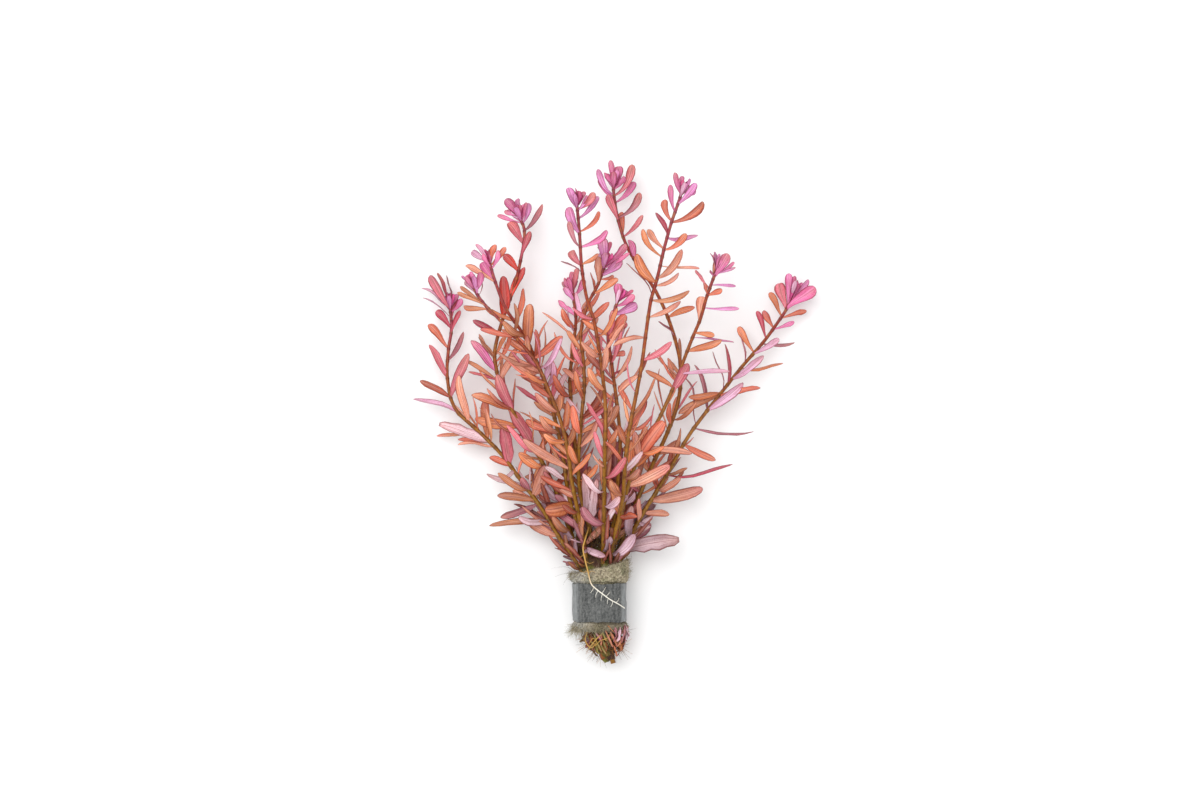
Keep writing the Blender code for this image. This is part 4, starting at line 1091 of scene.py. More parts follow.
def leaf_material():
    """A living leaf: a thin waxy cuticle over coloured flesh, which lets some light through."""
    material, add, shader = new_material("rotala_leaf_waxy_cuticle")
    place = add("TexCoord")
    spot = place.outputs["Object"]
    paint = add("Attribute", attribute_name="paint")
    split = add("SeparateXYZ", [place.outputs["UV"]])
    across, along = split.outputs["X"], split.outputs["Y"]
    off = add("Math", [across, 0.5], operation="SUBTRACT")
    away = add("Math", [off], operation="ABSOLUTE")
    # Flesh cells and small bruises about 0.4 mm across, and blotches of 3 mm that break the margin
    # and give painted highlights
    spots = add("TexNoise", {"Vector": spot, "Scale": 1 / (0.4 * MM), "Detail": 3.0})
    blotch = add("TexNoise", {"Vector": spot, "Scale": 1 / (3.2 * MM), "Detail": 2.0})
    dark = add("MapRange", [spots, 0.5, 0.72, 0, 0.6])
    light = add("MapRange", [blotch, 0.5, 0.72, 0, 0.3])
    shade = add("Mix", [dark, paint, (*linear("B58E86"), 1)], **MULTIPLY)
    # Streaks that run along the blade, different from leaf to leaf: darker ones in the leaf's
    # colour, and lighter ones that with the blotches are screened over it as painted highlights
    fine = add("Math", [across, 9.0], operation="MULTIPLY")
    slow = add("Math", [along, 1.6], operation="MULTIPLY")
    own = add("Math", [paint.outputs["Alpha"], 60.0], operation="MULTIPLY")
    drawn = add("CombineXYZ", [fine, slow, own])
    streak = add("TexNoise", {"Vector": drawn, "Scale": 1.0, "Detail": 2.0})
    dusky = add("MapRange", [streak, 0.5, 0.7, 0, 0.6])
    streaked = add("Mix", [dusky, shade, (*linear("BF9993"), 1)], **MULTIPLY)
    # Painted highlight: the lighter streaks and blotches
    bright = add("MapRange", [streak, 0.54, 0.36, 0, 0.7])
    highlight_share = add("Math", [light, bright], operation="ADD")
    highlighted = add("Mix", [highlight_share, streaked, paint], **SCREEN)
    # The pale midrib, widest at the foot, side veins that leave it at a slant, and a thin darker
    # line in the midrib's groove, which is painted shade
    rib = add("MapRange", [away, 0.26, 0.06, 0, 0.42], **SMOOTH)
    groove = add("MapRange", [away, 0.05, 0.012, 0, 0.6], **SMOOTH)
    slant = add("Math", [away, -0.34, along], operation="MULTIPLY_ADD")
    beat = add("Math", [slant, 62.0], operation="MULTIPLY")
    wave = add("Math", [beat], operation="SINE")
    vein = add("MapRange", [wave, 0.72, 1.0, 0, 0.2], **SMOOTH)
    lines = add("Math", [rib, vein], operation="MAXIMUM")
    pale = add("Mix", [lines, highlighted, (*linear("B58E89"), 1)], **SCREEN)
    ribbed = add("Mix", [groove, pale, (*linear("BF9595"), 1)], **MULTIPLY)
    # The margin is a little browner, in a broken line
    rim = add("MapRange", [away, 0.36, 0.48, 0, 1.9], **SMOOTH)
    end = add("MapRange", [along, 0.93, 1.0, 0, 1.6])
    border = add("Math", [rim, end], operation="MAXIMUM")
    broken = add("Math", [border, blotch], operation="MULTIPLY", use_clamp=True)
    edged = add("Mix", [broken, ribbed, (*linear("AA7C76"), 1)], **MULTIPLY)
    veins = add("Math", [vein, groove], operation="SUBTRACT")
    relief = add("Math", [veins, spots], operation="SUBTRACT")
    bump = add("Bump", {"Height": relief, "Strength": 0.35, "Distance": 0.12 * MM})
    set_shader(shader, colour=edged, normal=bump, roughness=0.46, ior=1.42)
    through = add("BsdfTranslucent", {"Color": edged, "Normal": bump})
    both = add("MixShader", [0.1, shader, through])
    plug(material.node_tree.nodes["Material Output"].inputs["Surface"], both)
    return material


def bark_material():
    """A soft green stem gone red: smooth, wet-looking skin with fine lengthwise ribs."""
    material, add, shader = new_material("rotala_stem_smooth_skin")
    place = add("TexCoord")
    spot = place.outputs["Object"]
    paint = add("Attribute", attribute_name="paint")
    # Ribs along the stem, 0.35 mm apart and 6 mm long, and worn patches of 1.6 mm
    drawn = add("Mapping", {"Vector": spot, "Scale": (1, 0.06, 1)})
    streak = add("TexNoise", {"Vector": drawn, "Scale": 1 / (0.35 * MM), "Detail": 2.0})
    patch = add("TexNoise", {"Vector": spot, "Scale": 1 / (1.6 * MM), "Detail": 3.0})
    dark = add("MapRange", [streak, 0.5, 0.68, 0, 0.8])
    worn = add("MapRange", [patch, 0.52, 0.72, 0, 0.5])
    ribbed = add("Mix", [dark, paint, (*linear("AD9086"), 1)], **MULTIPLY)
    mottled = add("Mix", [worn, ribbed, (*linear("B0801C"), 1)], **BLEND)
    bump = add("Bump", {"Height": streak, "Strength": 0.4, "Distance": 0.08 * MM})
    set_shader(shader, colour=mottled, normal=bump, roughness=0.38, ior=1.42)
    return material


def root_material():
    """A fresh root: moist, pale and matt."""
    material, add, shader = new_material("rotala_root_moist_skin")
    place = add("TexCoord")
    paint = add("Attribute", attribute_name="paint")
    # Small soil specks, 0.5 mm across
    specks = add("TexNoise", {"Vector": place.outputs["Object"], "Scale": 1 / (0.5 * MM),
                              "Detail": 2.0})
    dark = add("MapRange", [specks, 0.55, 0.7, 0, 0.35])
    dirty = add("Mix", [dark, paint, (*linear("BCAA89"), 1)], **MULTIPLY)
    set_shader(shader, colour=dirty, roughness=0.5)
    return material


def foam_material(settings):
    """Open-cell polyether foam, cut by hand: matt, full of pits, with algae in patches, painted
    shade in its pits, painted highlights on its cells and a painted shadow below the strip.
    """
    material, add, shader = new_material("polyether_foam_cut_open_cell")
    place = add("TexCoord")
    spot = place.outputs["Object"]
    # Open cells about 0.9 mm across, and algae in patches of about 5 mm. The grain is darker in
    # its pits and lighter at its tips: painted shade and painted highlight
    cells = add("TexVoronoi", {"Vector": spot, "Scale": 1 / (0.9 * MM)})
    grain = add("TexNoise", {"Vector": spot, "Scale": 1 / (0.8 * MM), "Detail": 4.0,
                             "Roughness": 0.7})
    patch = add("TexNoise", {"Vector": spot, "Scale": 1 / (5 * MM), "Detail": 3.0})
    algae = add("MapRange", [patch, 0.44, 0.66, 0, 0.85])
    pits = add("MapRange", [grain, 0.5, 0.64, 0, 0.9])
    tips = add("MapRange", [grain, 0.46, 0.34, 0, 0.7])
    green = add("Mix", [algae, (*settings.foam_pale, 1), (*settings.foam_green, 1)], **BLEND)
    # The left side is rubbed grey by the lead, and below the strip the foam is darker towards its
    # lower
    # end, most in the middle and on the right: painted shadow of the strip
    spread = add("SeparateXYZ", [spot])
    left = add("MapRange", [spread, -1 * MM, -9 * MM, 0, 0.85])
    rubbed = add("Mix", [left, green, (*settings.foam_grey, 1)], **BLEND)
    # Painted shadow under the strip, darkest towards the lower end
    wet = add("MapRange", [spread.outputs["Y"], 4 * MM, -9 * MM, 0, 0.6])
    tip_highlighted = add("Mix", [tips, rubbed, (*settings.foam_cell_highlight, 1)], **BLEND)
    inner = add("MapRange", [spread, -7 * MM, 1 * MM, 0.3])
    strip_shadow_share = add("Math", [wet, inner], operation="MULTIPLY")
    strip_shadowed = add("Mix", [strip_shadow_share, tip_highlighted, (*settings.foam_dark, 1)], **BLEND)
    pit_shaded = add("Mix", [pits, strip_shadowed, (*settings.foam_dark, 1)], **BLEND)
    bump = add("Bump", {"Height": cells, "Strength": 0.9, "Distance": 0.4 * MM})
    set_shader(shader, colour=pit_shaded, normal=bump, roughness=0.92)
    return material


def strand_material():
    """Plant and foam fibres: thin, dull and dry."""
    material, add, shader = new_material("fibre_dull_dry")
    set_shader(shader, colour=add("Attribute", attribute_name="paint"), roughness=0.8)
    return material


def lead_material(settings):
    """Rolled sheet lead, bent by hand: a dull grey oxide skin, rubbed lighter in streaks, with a
    painted reflection in a band along each side.
    """
    material, add, shader = new_material("sheet_lead_rolled_oxidised")
    place = add("TexCoord")
    spot = place.outputs["Object"]
    # Rolling streaks across the strip, 0.9 mm wide, and blooms of oxide 0.8 mm across
    drawn = add("Mapping", {"Vector": spot, "Scale": (1, 0.2, 1)})
    streak = add("TexNoise", {"Vector": drawn, "Scale": 1 / (0.9 * MM), "Detail": 5.0,
                              "Roughness": 0.7})
    bloom = add("TexNoise", {"Vector": spot, "Scale": 1 / (0.8 * MM), "Detail": 6.0,
                             "Roughness": 0.75})
    both = add("Math", [streak, bloom], operation="ADD")
    skin = add("MapRange", [both, 0.82, 1.24])
    grey = add("Mix", [skin, (*settings.lead_dark, 1), (*settings.lead_light, 1)], **BLEND)
    # Both sides of the strip, where it bends away, are lighter in a band along its edge: painted
    # reflection
    spread = add("SeparateXYZ", [spot])
    left = add("MapRange", [spread, -7.4 * MM, -9.4 * MM])
    right = add("MapRange", [spread, 8.2 * MM, 9.0 * MM])
    sides = add("Math", [left, right], operation="MAXIMUM")
    reflection_band = add("Math", [sides, streak], operation="MULTIPLY")
    worn = add("Mix", [reflection_band, grey, (*settings.lead_side_reflection, 1)], **BLEND)
    dull = add("MapRange", [bloom, 0.35, 0.65, 0.8, 0.62])
    bump = add("Bump", {"Height": bloom, "Strength": 0.5, "Distance": 0.15 * MM})
    set_shader(shader, colour=worn, roughness=dull, normal=bump, metallic=0.35)
    return material


def floor_material(settings):
    """Matt white board, which gives the plant an even pale ground."""
    material, _, shader = new_material("floor_matt_board")
    set_shader(shader, colour=(*settings.floor, 1), roughness=0.9)
    return material


def leaf_blank(name, settings):
    """One leaf blank lying along +Y: a grid drawn in and folded row by row, then thickened."""
    shares, halves = BLANKS[name]
    rows = len(shares) - 1
    deselect()
    bpy.ops.mesh.primitive_grid_add(x_subdivisions=COLUMNS, y_subdivisions=rows, size=1)
    blank = bpy.context.object
    blank.name = "blank_" + name
    blank.scale = (LEAF_WIDE * MM, LEAF_LONG * MM, 1)
    blank.location.y = LEAF_LONG * MM / 2
    bpy.ops.object.transform_apply(location=True, rotation=False, scale=True)
    bpy.ops.object.mode_set(mode="EDIT")
    step = LEAF_LONG * MM / rows
    ragged = name == "ragged"
    for row in range(rows, 0, -1):
        pick(blank, lambda co, row=row: abs(co.y - row * step) < step / 4)
        bpy.ops.transform.translate(value=(0, shares[row] * LEAF_LONG * MM - row * step, 0))
    for row in range(rows + 1):
        middle = shares[row] * LEAF_LONG * MM
        row_test = lambda co, middle=middle: abs(co.y - middle) < 0.01 * MM
        pick(blank, row_test)
        bpy.ops.transform.resize(value=(halves[row], 1, 1), center_override=(0, middle, 0))
        edge = halves[row] * LEAF_WIDE / 2 * MM
        for share in (0.5, 1.0):
            pick(blank, lambda co: row_test(co) and abs(abs(co.x) - edge * share) < edge / 8)
            lift = settings.fold * share ** 1.5 * halves[row]
            bpy.ops.transform.translate(value=(0, 0, lift))
        if ragged and 0 < row < rows:
            pick(blank, lambda co: row_test(co) and co.x * (-1) ** row > edge / 8)
            bpy.ops.transform.translate(value=(-0.22 * MM * (-1) ** row, 0, 0))
    bpy.ops.object.mode_set(mode="OBJECT")
    tops = len(blank.data.vertices)
    apply_modifier(blank, "SOLIDIFY", thickness=settings.thickness, offset=-1)
    bpy.ops.object.shade_smooth_by_angle(angle=math.radians(45))
    places = np.empty(len(blank.data.vertices) * 3)
    blank.data.vertices.foreach_get("co", places)
    places = places.reshape(-1, 3) / MM
    top = places[:tops]
    return dict(mesh=blank.data, thing=blank,
                across=np.tile(top[:, 0] / LEAF_WIDE, 2), along=np.tile(top[:, 1] / LEAF_LONG, 2),
                lift=np.tile(top[:, 2], 2), under=np.repeat((0.0, 1.0), tops),
                faces=[tuple(face.vertices) for face in blank.data.polygons])


def dress_leaf(leaf, draw):
    """Small differences between one leaf and the next: twist, fold, wave, colour and sway."""
    strap = leaf["blank"] == "strap"
    plain = len(leaf["tints"]) > 1
    foot = leaf["foot"]
    # Painted shade: leaves deep in the bunch and plain leaves near the foam are made darker, as
    # shade falls there
    deep = clamp((DEEP_Z[0] - foot.z) / DEEP_Z[1]) * clamp((DEEP_Y[0] - foot.y) / DEEP_Y[1])
    deep *= clamp((foot.x - DEEP_X[0]) / DEEP_X[1])
    near = max(0.0, 1 - abs(foot.y - FOAM_SHADE[0]) / FOAM_SHADE[1]) if plain else 0
    return dict(leaf, twist=math.radians(draw.uniform(-TWIST, TWIST)), fold=draw.uniform(*FOLDS),
                wave=draw.uniform(*WAVE_HEIGHTS) * (0.4 if strap else 1),
                waves=draw.uniform(*WAVES), phase=draw.random(),
                sway=draw.uniform(-SWAY, SWAY),
                width=leaf["width"] * (draw.uniform(*PLAIN_SLIM) if plain else READ_SLIM),
                tone=draw.uniform(*(PLAIN_TONE if plain else READ_TONE))
                * (1 - DEEP_SHADE_DARK * deep) * (1 - FOAM_SHADE_DARK * near),
                blend=draw.uniform(*TIP_BLEND),
                letter=draw.choice(leaf["tints"]), tip_letter=draw.choice(TIP_TINTS))


def blade_places(blank, leaf, settings):
    """Where the blank's vertices lie for one leaf, in millimetres."""
    across, along, under = blank["across"], blank["along"], blank["under"]
    foot, tip, face = (np.array(leaf[key]) for key in ("foot", "tip", "face"))
    span = tip - foot
    long = np.linalg.norm(span)
    bow = face * BOW + np.array(leaf["bend"])
    arch = 4 * along * (1 - along) * long
    middle = foot + np.outer(along, span) + np.outer(arch, bow)
    middle += np.outer(np.sin(2 * math.pi * along) * leaf["sway"] * long, face)
    way = span + np.outer(4 * (1 - 2 * along) * long, bow)
    way /= np.linalg.norm(way, axis=1)[:, None]
    side = np.cross(way, face)
    side /= np.linalg.norm(side, axis=1)[:, None]
    up = np.cross(side, way)
    turn = leaf["twist"] * (along - TWIST_FROM)
    cosine, sine = np.cos(turn)[:, None], np.sin(turn)[:, None]
    side, up = side * cosine + up * sine, up * cosine - side * sine
    beat = 2 * math.pi * (leaf["waves"] * along + leaf["phase"])
    beat = beat + np.sign(across) * SIDES_APART
    wide = np.abs(across) * 2
    wave = settings.wave / MM * leaf["wave"] * wide ** 2 * np.sin(beat)
    raised = blank["lift"] * leaf["fold"] * leaf["width"] / LEAF_WIDE + wave
    raised -= under * settings.thickness / MM
    places = middle + side * (across * leaf["width"])[:, None] + up * raised[:, None]
    for row in np.unique(np.round(along, 4)):
        near = np.abs(along - row) < 0.001
        sunk = places[near, 2].min() - FLOOR_GAP
        if sunk < 0:
            places[near, 2] -= sunk
    return places


def blade_paint(blank, leaf, colours):
    """The leaf's colour at each vertex: another tint towards the tip, and a paler underside."""
    base, end, faded = (np.array(getattr(colours, TINTS[letter]))
                        for letter in (leaf["letter"], leaf["tip_letter"], "v"))
    along, under = blank["along"][:, None], blank["under"][:, None]
    turn = np.clip((along - TIP_COLOUR[0]) / TIP_COLOUR[1], 0, 1) ** 1.5 * leaf["blend"]
    paint = (base * (1 - turn) + end * turn) * leaf["tone"]
    paint = paint * (1 - UNDER_PALE * under) + faded * UNDER_PALE * under
    return np.hstack((np.clip(paint, 0, 1), np.full((len(paint), 1), leaf["phase"])))


def paint_mesh(mesh, paint):
    layer = mesh.color_attributes.new("paint", "FLOAT_COLOR", "POINT")
    layer.data.foreach_set("color", np.asarray(paint, np.float32).ravel())


def give_slot(mesh, slot):
    mesh.polygons.foreach_set("material_index", np.full(len(mesh.polygons), slot, np.int32))


def give_plant_materials(mesh):
    """A plant's slots, which have to be there before its meshes are joined."""
    for name in PLANT_MATERIALS:
        mesh.materials.append(bpy.data.materials[name])


def add_copy(mesh, name, places, paint, slot):
    """A copy of a blank with its own mesh, moved to its place, painted and given a slot."""
    mesh = mesh.copy()
    mesh.vertices.foreach_set("co", (places * MM).astype(np.float32).ravel())
    paint_mesh(mesh, paint)
    give_slot(mesh, slot)
    thing = bpy.data.objects.new(name, mesh)
    bpy.context.collection.objects.link(thing)
    return thing


def draw_tube(name, places, radii, sides, paint_of, slot):
    """A tube along millimetre points, drawn as a curve, made a mesh, closed and painted."""
    deselect()
    bpy.ops.curve.primitive_nurbs_path_add()
    tube = bpy.context.object
    tube.name = name
    curve = tube.data
    curve.splines.clear()
    curve.dimensions = "3D"
    curve.bevel_depth = MM
    curve.bevel_resolution = (sides - 4) // 2
    curve.use_fill_caps = True
    spline = curve.splines.new("POLY")
    spline.points.add(len(places) - 1)
    for point, place, radius in zip(spline.points, places, radii):
        point.co = (*(Vector(place) * MM), 1)
        point.radius = radius
    take(tube)
    bpy.ops.object.convert(target="MESH")
    tube = bpy.context.object
    close_up(tube)
    bpy.ops.object.shade_smooth()
    give_plant_materials(tube.data)
    give_slot(tube.data, slot)
    paint = [(*paint_of(vertex.co / MM, vertex.normal), 1) for vertex in tube.data.vertices]
    paint_mesh(tube.data, paint)
    return tube


def rounded(route, steps):
    """Points on a smooth curve through a route's points."""
    points = [Vector(place) for place in route]
    line = []
    for number in range(len(points) - 1):
        before = points[max(number - 1, 0)]
        start, end = points[number], points[number + 1]
        after = points[min(number + 2, len(points) - 1)]
        line += [cubic(start, (end - before) / 2, end, (after - start) / 2, step / steps)
                 for step in range(steps)]
    line.append(points[-1])
    return line


def join(things, name):
    """Join objects into the first one."""
    deselect()
    for thing in things:
        thing.select_set(True)
    bpy.context.view_layer.objects.active = things[0]
    bpy.ops.object.join()
    things[0].name = name
    return things[0]


def stem_tube(stem, path, feet, settings):
    """The bare stem: rounded bends, a swelling at each pair of leaves, bark by height and painted
    shade along its sides.
    """
    top, bottom = path[0].y, path[-1].y
    pairs = []
    for height in sorted(feet):
        if not pairs or height - pairs[-1] > PAIR_APART:
            pairs.append(height)
    heights = {bottom, top}
    heights.update(bottom + RING_STEP * n for n in range(1, int((top - bottom) / RING_STEP)))
    for pair in pairs:
        heights.update((pair - SWELL_BELOW, pair, pair + SWELL_ABOVE))
    heights = sorted(h for h in heights if bottom <= h <= top)
    spaced = [heights[0]]
    for height in heights[1:]:
        if height - spaced[-1] > RING_APART:
            spaced.append(height)
    spaced[-1] = top

    def swelling(height):
        near = min((abs(height - pair) for pair in pairs), default=9)
        return max(0.0, 1 - near / SWELL_BELOW)

    places = [smooth_place(path, height) for height in spaced]
    tip_radius = settings.tip_radius / MM
    radii = [mix(STEM_FOOT, tip_radius, ((h - bottom) / (top - bottom)) ** STEM_TAPER)
             * (1 + settings.node_swell * swelling(h)) for h in spaced]
    radii[-1] *= STEM_TIP_SHARE
    barks = [np.array(colour) for colour in (settings.gold_bark, settings.brown_bark,
                                             settings.red_bark, settings.young_bark)]
    stops = (*BARK_STOPS, mix(BARK_STOPS[1], top, 0.5), top - YOUNG_BARK)
    side_shade_bark = np.array(settings.side_shade_bark)
    draw = random.Random(stem["seed"] + SEEDS["bark"])
    shift = draw.uniform(*BARK_SHIFT)
    foot = np.array(draw.choice((settings.olive_bark, settings.gold_bark, settings.brown_bark)))

    def bark(co, normal):
        height = co.y + shift
        colour = np.array([np.interp(height, stops, [b[axis] for b in barks])
                           for axis in range(3)])
        low = clamp((FOOT_BARK[0] - co.y) / FOOT_BARK[1])
        # Darker along both sides, where the stem turns away from the light above: painted shade
        sides = 0.9 * (1 - abs(normal.z)) ** 1.1
        darker = 1 - SWELL_DARK * swelling(co.y)
        return mix(mix(colour, foot, low), side_shade_bark, sides) * darker

    return draw_tube(stem["name"] + "_tube", places, radii, 8, bark, STEM_SLOT)


def root_strands(settings):
    """The root over the front of the collar with its side roots, and old loops at the foot."""
    def paint(co, _):
        share = clamp((12 - co.y) / 7)
        return [mix(a, b, share) for a, b in zip(settings.root_tan, settings.root_white)]

    def old(*_):
        return settings.root_tan

    def strand(name, route, steps, thick, sides, paint_of):
        line = rounded(route, steps)
        radii = [mix(*thick, n / (len(line) - 1)) for n in range(len(line))]
        return draw_tube(name, line, radii, sides, paint_of, ROOT_SLOT)

    things = [strand("root", ROOT_ROUTE, 4, ROOT_THICK, 8, paint)]
    for route in SIDE_ROOTS:
        lifted = [(x, y, AXIS_Z + math.sqrt(ROOT_LIFT ** 2 - x * x)) for x, y in route]
        things.append(strand("side_root", lifted, 3, SIDE_ROOT_THICK, 6, paint))
    things += [strand("old_root", route, 4, OLD_ROOT_THICK, 6, old) for route in OLD_ROOTS]
    return things


class ROTALA_OT_stems(bpy.types.Operator):
    """Build the twelve stems with their leaves, crowns and root"""

    bl_idname = "rotala.stems"
    bl_label = "Stems and Leaves"

    def execute(self, context):
        settings = context.scene.rotala_plant
        colours = context.scene.rotala_leaf_colours
        blanks = {name: leaf_blank(name, settings) for name in BLANKS}
        for material in (bark_material, leaf_material, root_material):
            material()
        for blank in blanks.values():
            give_plant_materials(blank["mesh"])
        solids = {name: node_tree(name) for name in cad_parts}
        placed = {stem["name"]: [] for stem in STEMS}
        grown = {}
        for stem in STEMS:
            path = stem_path(stem)
            corners = corner_tree(stem["name"])
            draw = random.Random(stem["seed"] + SEEDS["dress"])
            found = []
            for rule in (bud_leaves, read_leaves, scrap_leaves, fill_leaves):
                for leaf in rule(stem, path):
                    fitted = matching_leaf(leaf, corners)
                    if fitted:
                        found.append(dress_leaf(fitted, draw))
            grown[stem["name"]] = found
        print("leaves of the solids found again:", sum(len(found) for found in grown.values()))
        seen = in_view(blanks, settings, grown)
        for stem in STEMS:
            name = stem["name"]
            path = stem_path(stem)
            draw = random.Random(stem["seed"] + SEEDS["further"])
            for rule in (rosette_leaves, rag_leaves, stub_scraps, more_leaves):
                for leaf in rule(stem, path):
                    leaf = dress_leaf(leaf, draw)
                    fitted = clear_leaf(leaf, blanks, settings, solids, placed, name, seen)
                    if fitted:
                        grown[name].append(fitted)
        print("leaves in all:", sum(len(found) for found in grown.values()))
        for stem in STEMS:
            name = stem["name"]
            path = stem_path(stem)
            leaves = grown[name]
            things = [stem_tube(stem, path, [leaf["foot"].y for leaf in leaves], settings)]
            for leaf in leaves:
                blank = blanks[leaf["blank"]]
                if "loose" not in leaf:
                    leaf = dict(leaf, foot=smooth_place(path, leaf["foot"].y))
                things.append(add_copy(blank["mesh"], "leaf", blade_places(blank, leaf, settings),
                                       blade_paint(blank, leaf, colours), LEAF_SLOT))
            if name == ROOT_STEM:
                things += root_strands(settings)
            plant = join(things, name + "_plant")
            finish_piece(plant, name + "_plant", "foliage", name)
        for blank in blanks.values():
            bpy.data.objects.remove(blank["thing"])
        return {"FINISHED"}


def matching_leaf(leaf, corners):
    """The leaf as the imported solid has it, found by its tip, or None if it isn't there."""
    for shrink in SHRINKS:
        for rise in RISES:
            tried = moved(leaf, rise, shrink)
            _, _, distance = corners.find(tried["tip"])
            if distance < TIP_MATCH:
                return tried
    return None


def in_view(blanks, settings, grown):
    """What stays in view from above: points on the stems and on the big faded leaves."""
    points = []
    for stem in STEMS:
        path = stem_path(stem)
        points += [smooth_place(path, height) for height in range(16, int(path[0].y) - 4)]
    for leaves in grown.values():
        for leaf in leaves:
            if leaf["tints"] == "w":
                blank = blanks[leaf["blank"]]
                points += list(blade_places(blank, leaf, settings)[::3])
    return np.array([tuple(point) for point in points])


def hides(places, along, seen):
    """Whether a leaf's outer part lies over a stem or a leaf that stays in view."""
    outer = places[along > OUTER_PART]
    flat = np.hypot(outer[:, None, 0] - seen[None, :, 0], outer[:, None, 1] - seen[None, :, 1])
    return bool(((flat < STEM_CLEAR) & (outer[:, None, 2] > seen[None, :, 2])).any())


def clear_leaf(leaf, blanks, settings, solids, placed, name, seen):
    """The first place of a further leaf that is clear of the other stems, or None."""
    blank = blanks[leaf["blank"]]
    passed = (name, "foam_wrap") if "loose" in leaf else (name,)
    others = [tree for key, tree in solids.items() if key not in passed]
    rosette = "rosette" in leaf
    if not rosette:
        others += [tree for trees in placed.values() for tree in trees]
    small = rosette or "rag" in leaf
    for shrink in CLEAR_SHRINKS:
        for rise in SMALL_RISES if small else CLEAR_RISES:
            tried = moved(leaf, rise, shrink)
            places = blade_places(blank, tried, settings)
            if places[:, 2].max() > TOP:
                continue
            if not small and hides(places, blank["along"], seen):
                continue
            tree = face_tree(places, blank["faces"])
            if not any(crosses(tree, other) for other in others):
                placed[name].append(tree)
                return tried
    return None


def strand_blank():
    """One fibre blank: a thin three-sided rod drawn out step by step."""
    deselect()
    bpy.ops.mesh.primitive_cylinder_add(vertices=3, radius=1, depth=1, location=(0, 0, 0.5))
    rod = bpy.context.object
    bpy.ops.object.transform_apply(location=True, rotation=False, scale=False)
    bpy.ops.object.mode_set(mode="EDIT")
    pick(rod, lambda co: co.z > 0.5)
    for _ in range(STRAND_STEPS - 1):
        bpy.ops.mesh.extrude_region_move(TRANSFORM_OT_translate={"value": (0, 0, 1)})
    bpy.ops.object.mode_set(mode="OBJECT")
    close_up(rod)
    bpy.ops.object.shade_smooth()
    return rod


def strand_places(rod, start, way, bend, long, radius):
    """Where the rod's vertices lie for one bent, tapered fibre, in millimetres."""
    places = np.empty(len(rod.data.vertices) * 3)
    rod.data.vertices.foreach_get("co", places)
    places = places.reshape(-1, 3)
    along = (places[:, 2] / STRAND_STEPS)[:, None]
    line = np.array(start) + np.array(way) * along * long + np.array(bend) * along ** 2
    thin = radius * (1 - STRAND_THINNER * along)
    one = np.cross(way, (0.31, 0.52, 0.79))
    one /= np.linalg.norm(one)
    two = np.cross(way, one)
    return line + (one * places[:, :1] + two * places[:, 1:2]) * thin


def strand_piece(name, rod, strands):
    """Many fibres as one mesh."""
    things = []
    for start, way, bend, long, radius, colour in strands:
        places = strand_places(rod, start, way, bend, long, radius)
        places[:, 2] = np.maximum(places[:, 2], FLOOR_GAP)
        paint = np.tile((*colour, 1.0), (len(places), 1))
        things.append(add_copy(rod.data, "fibre", places, paint, 0))
    return join(things, name)


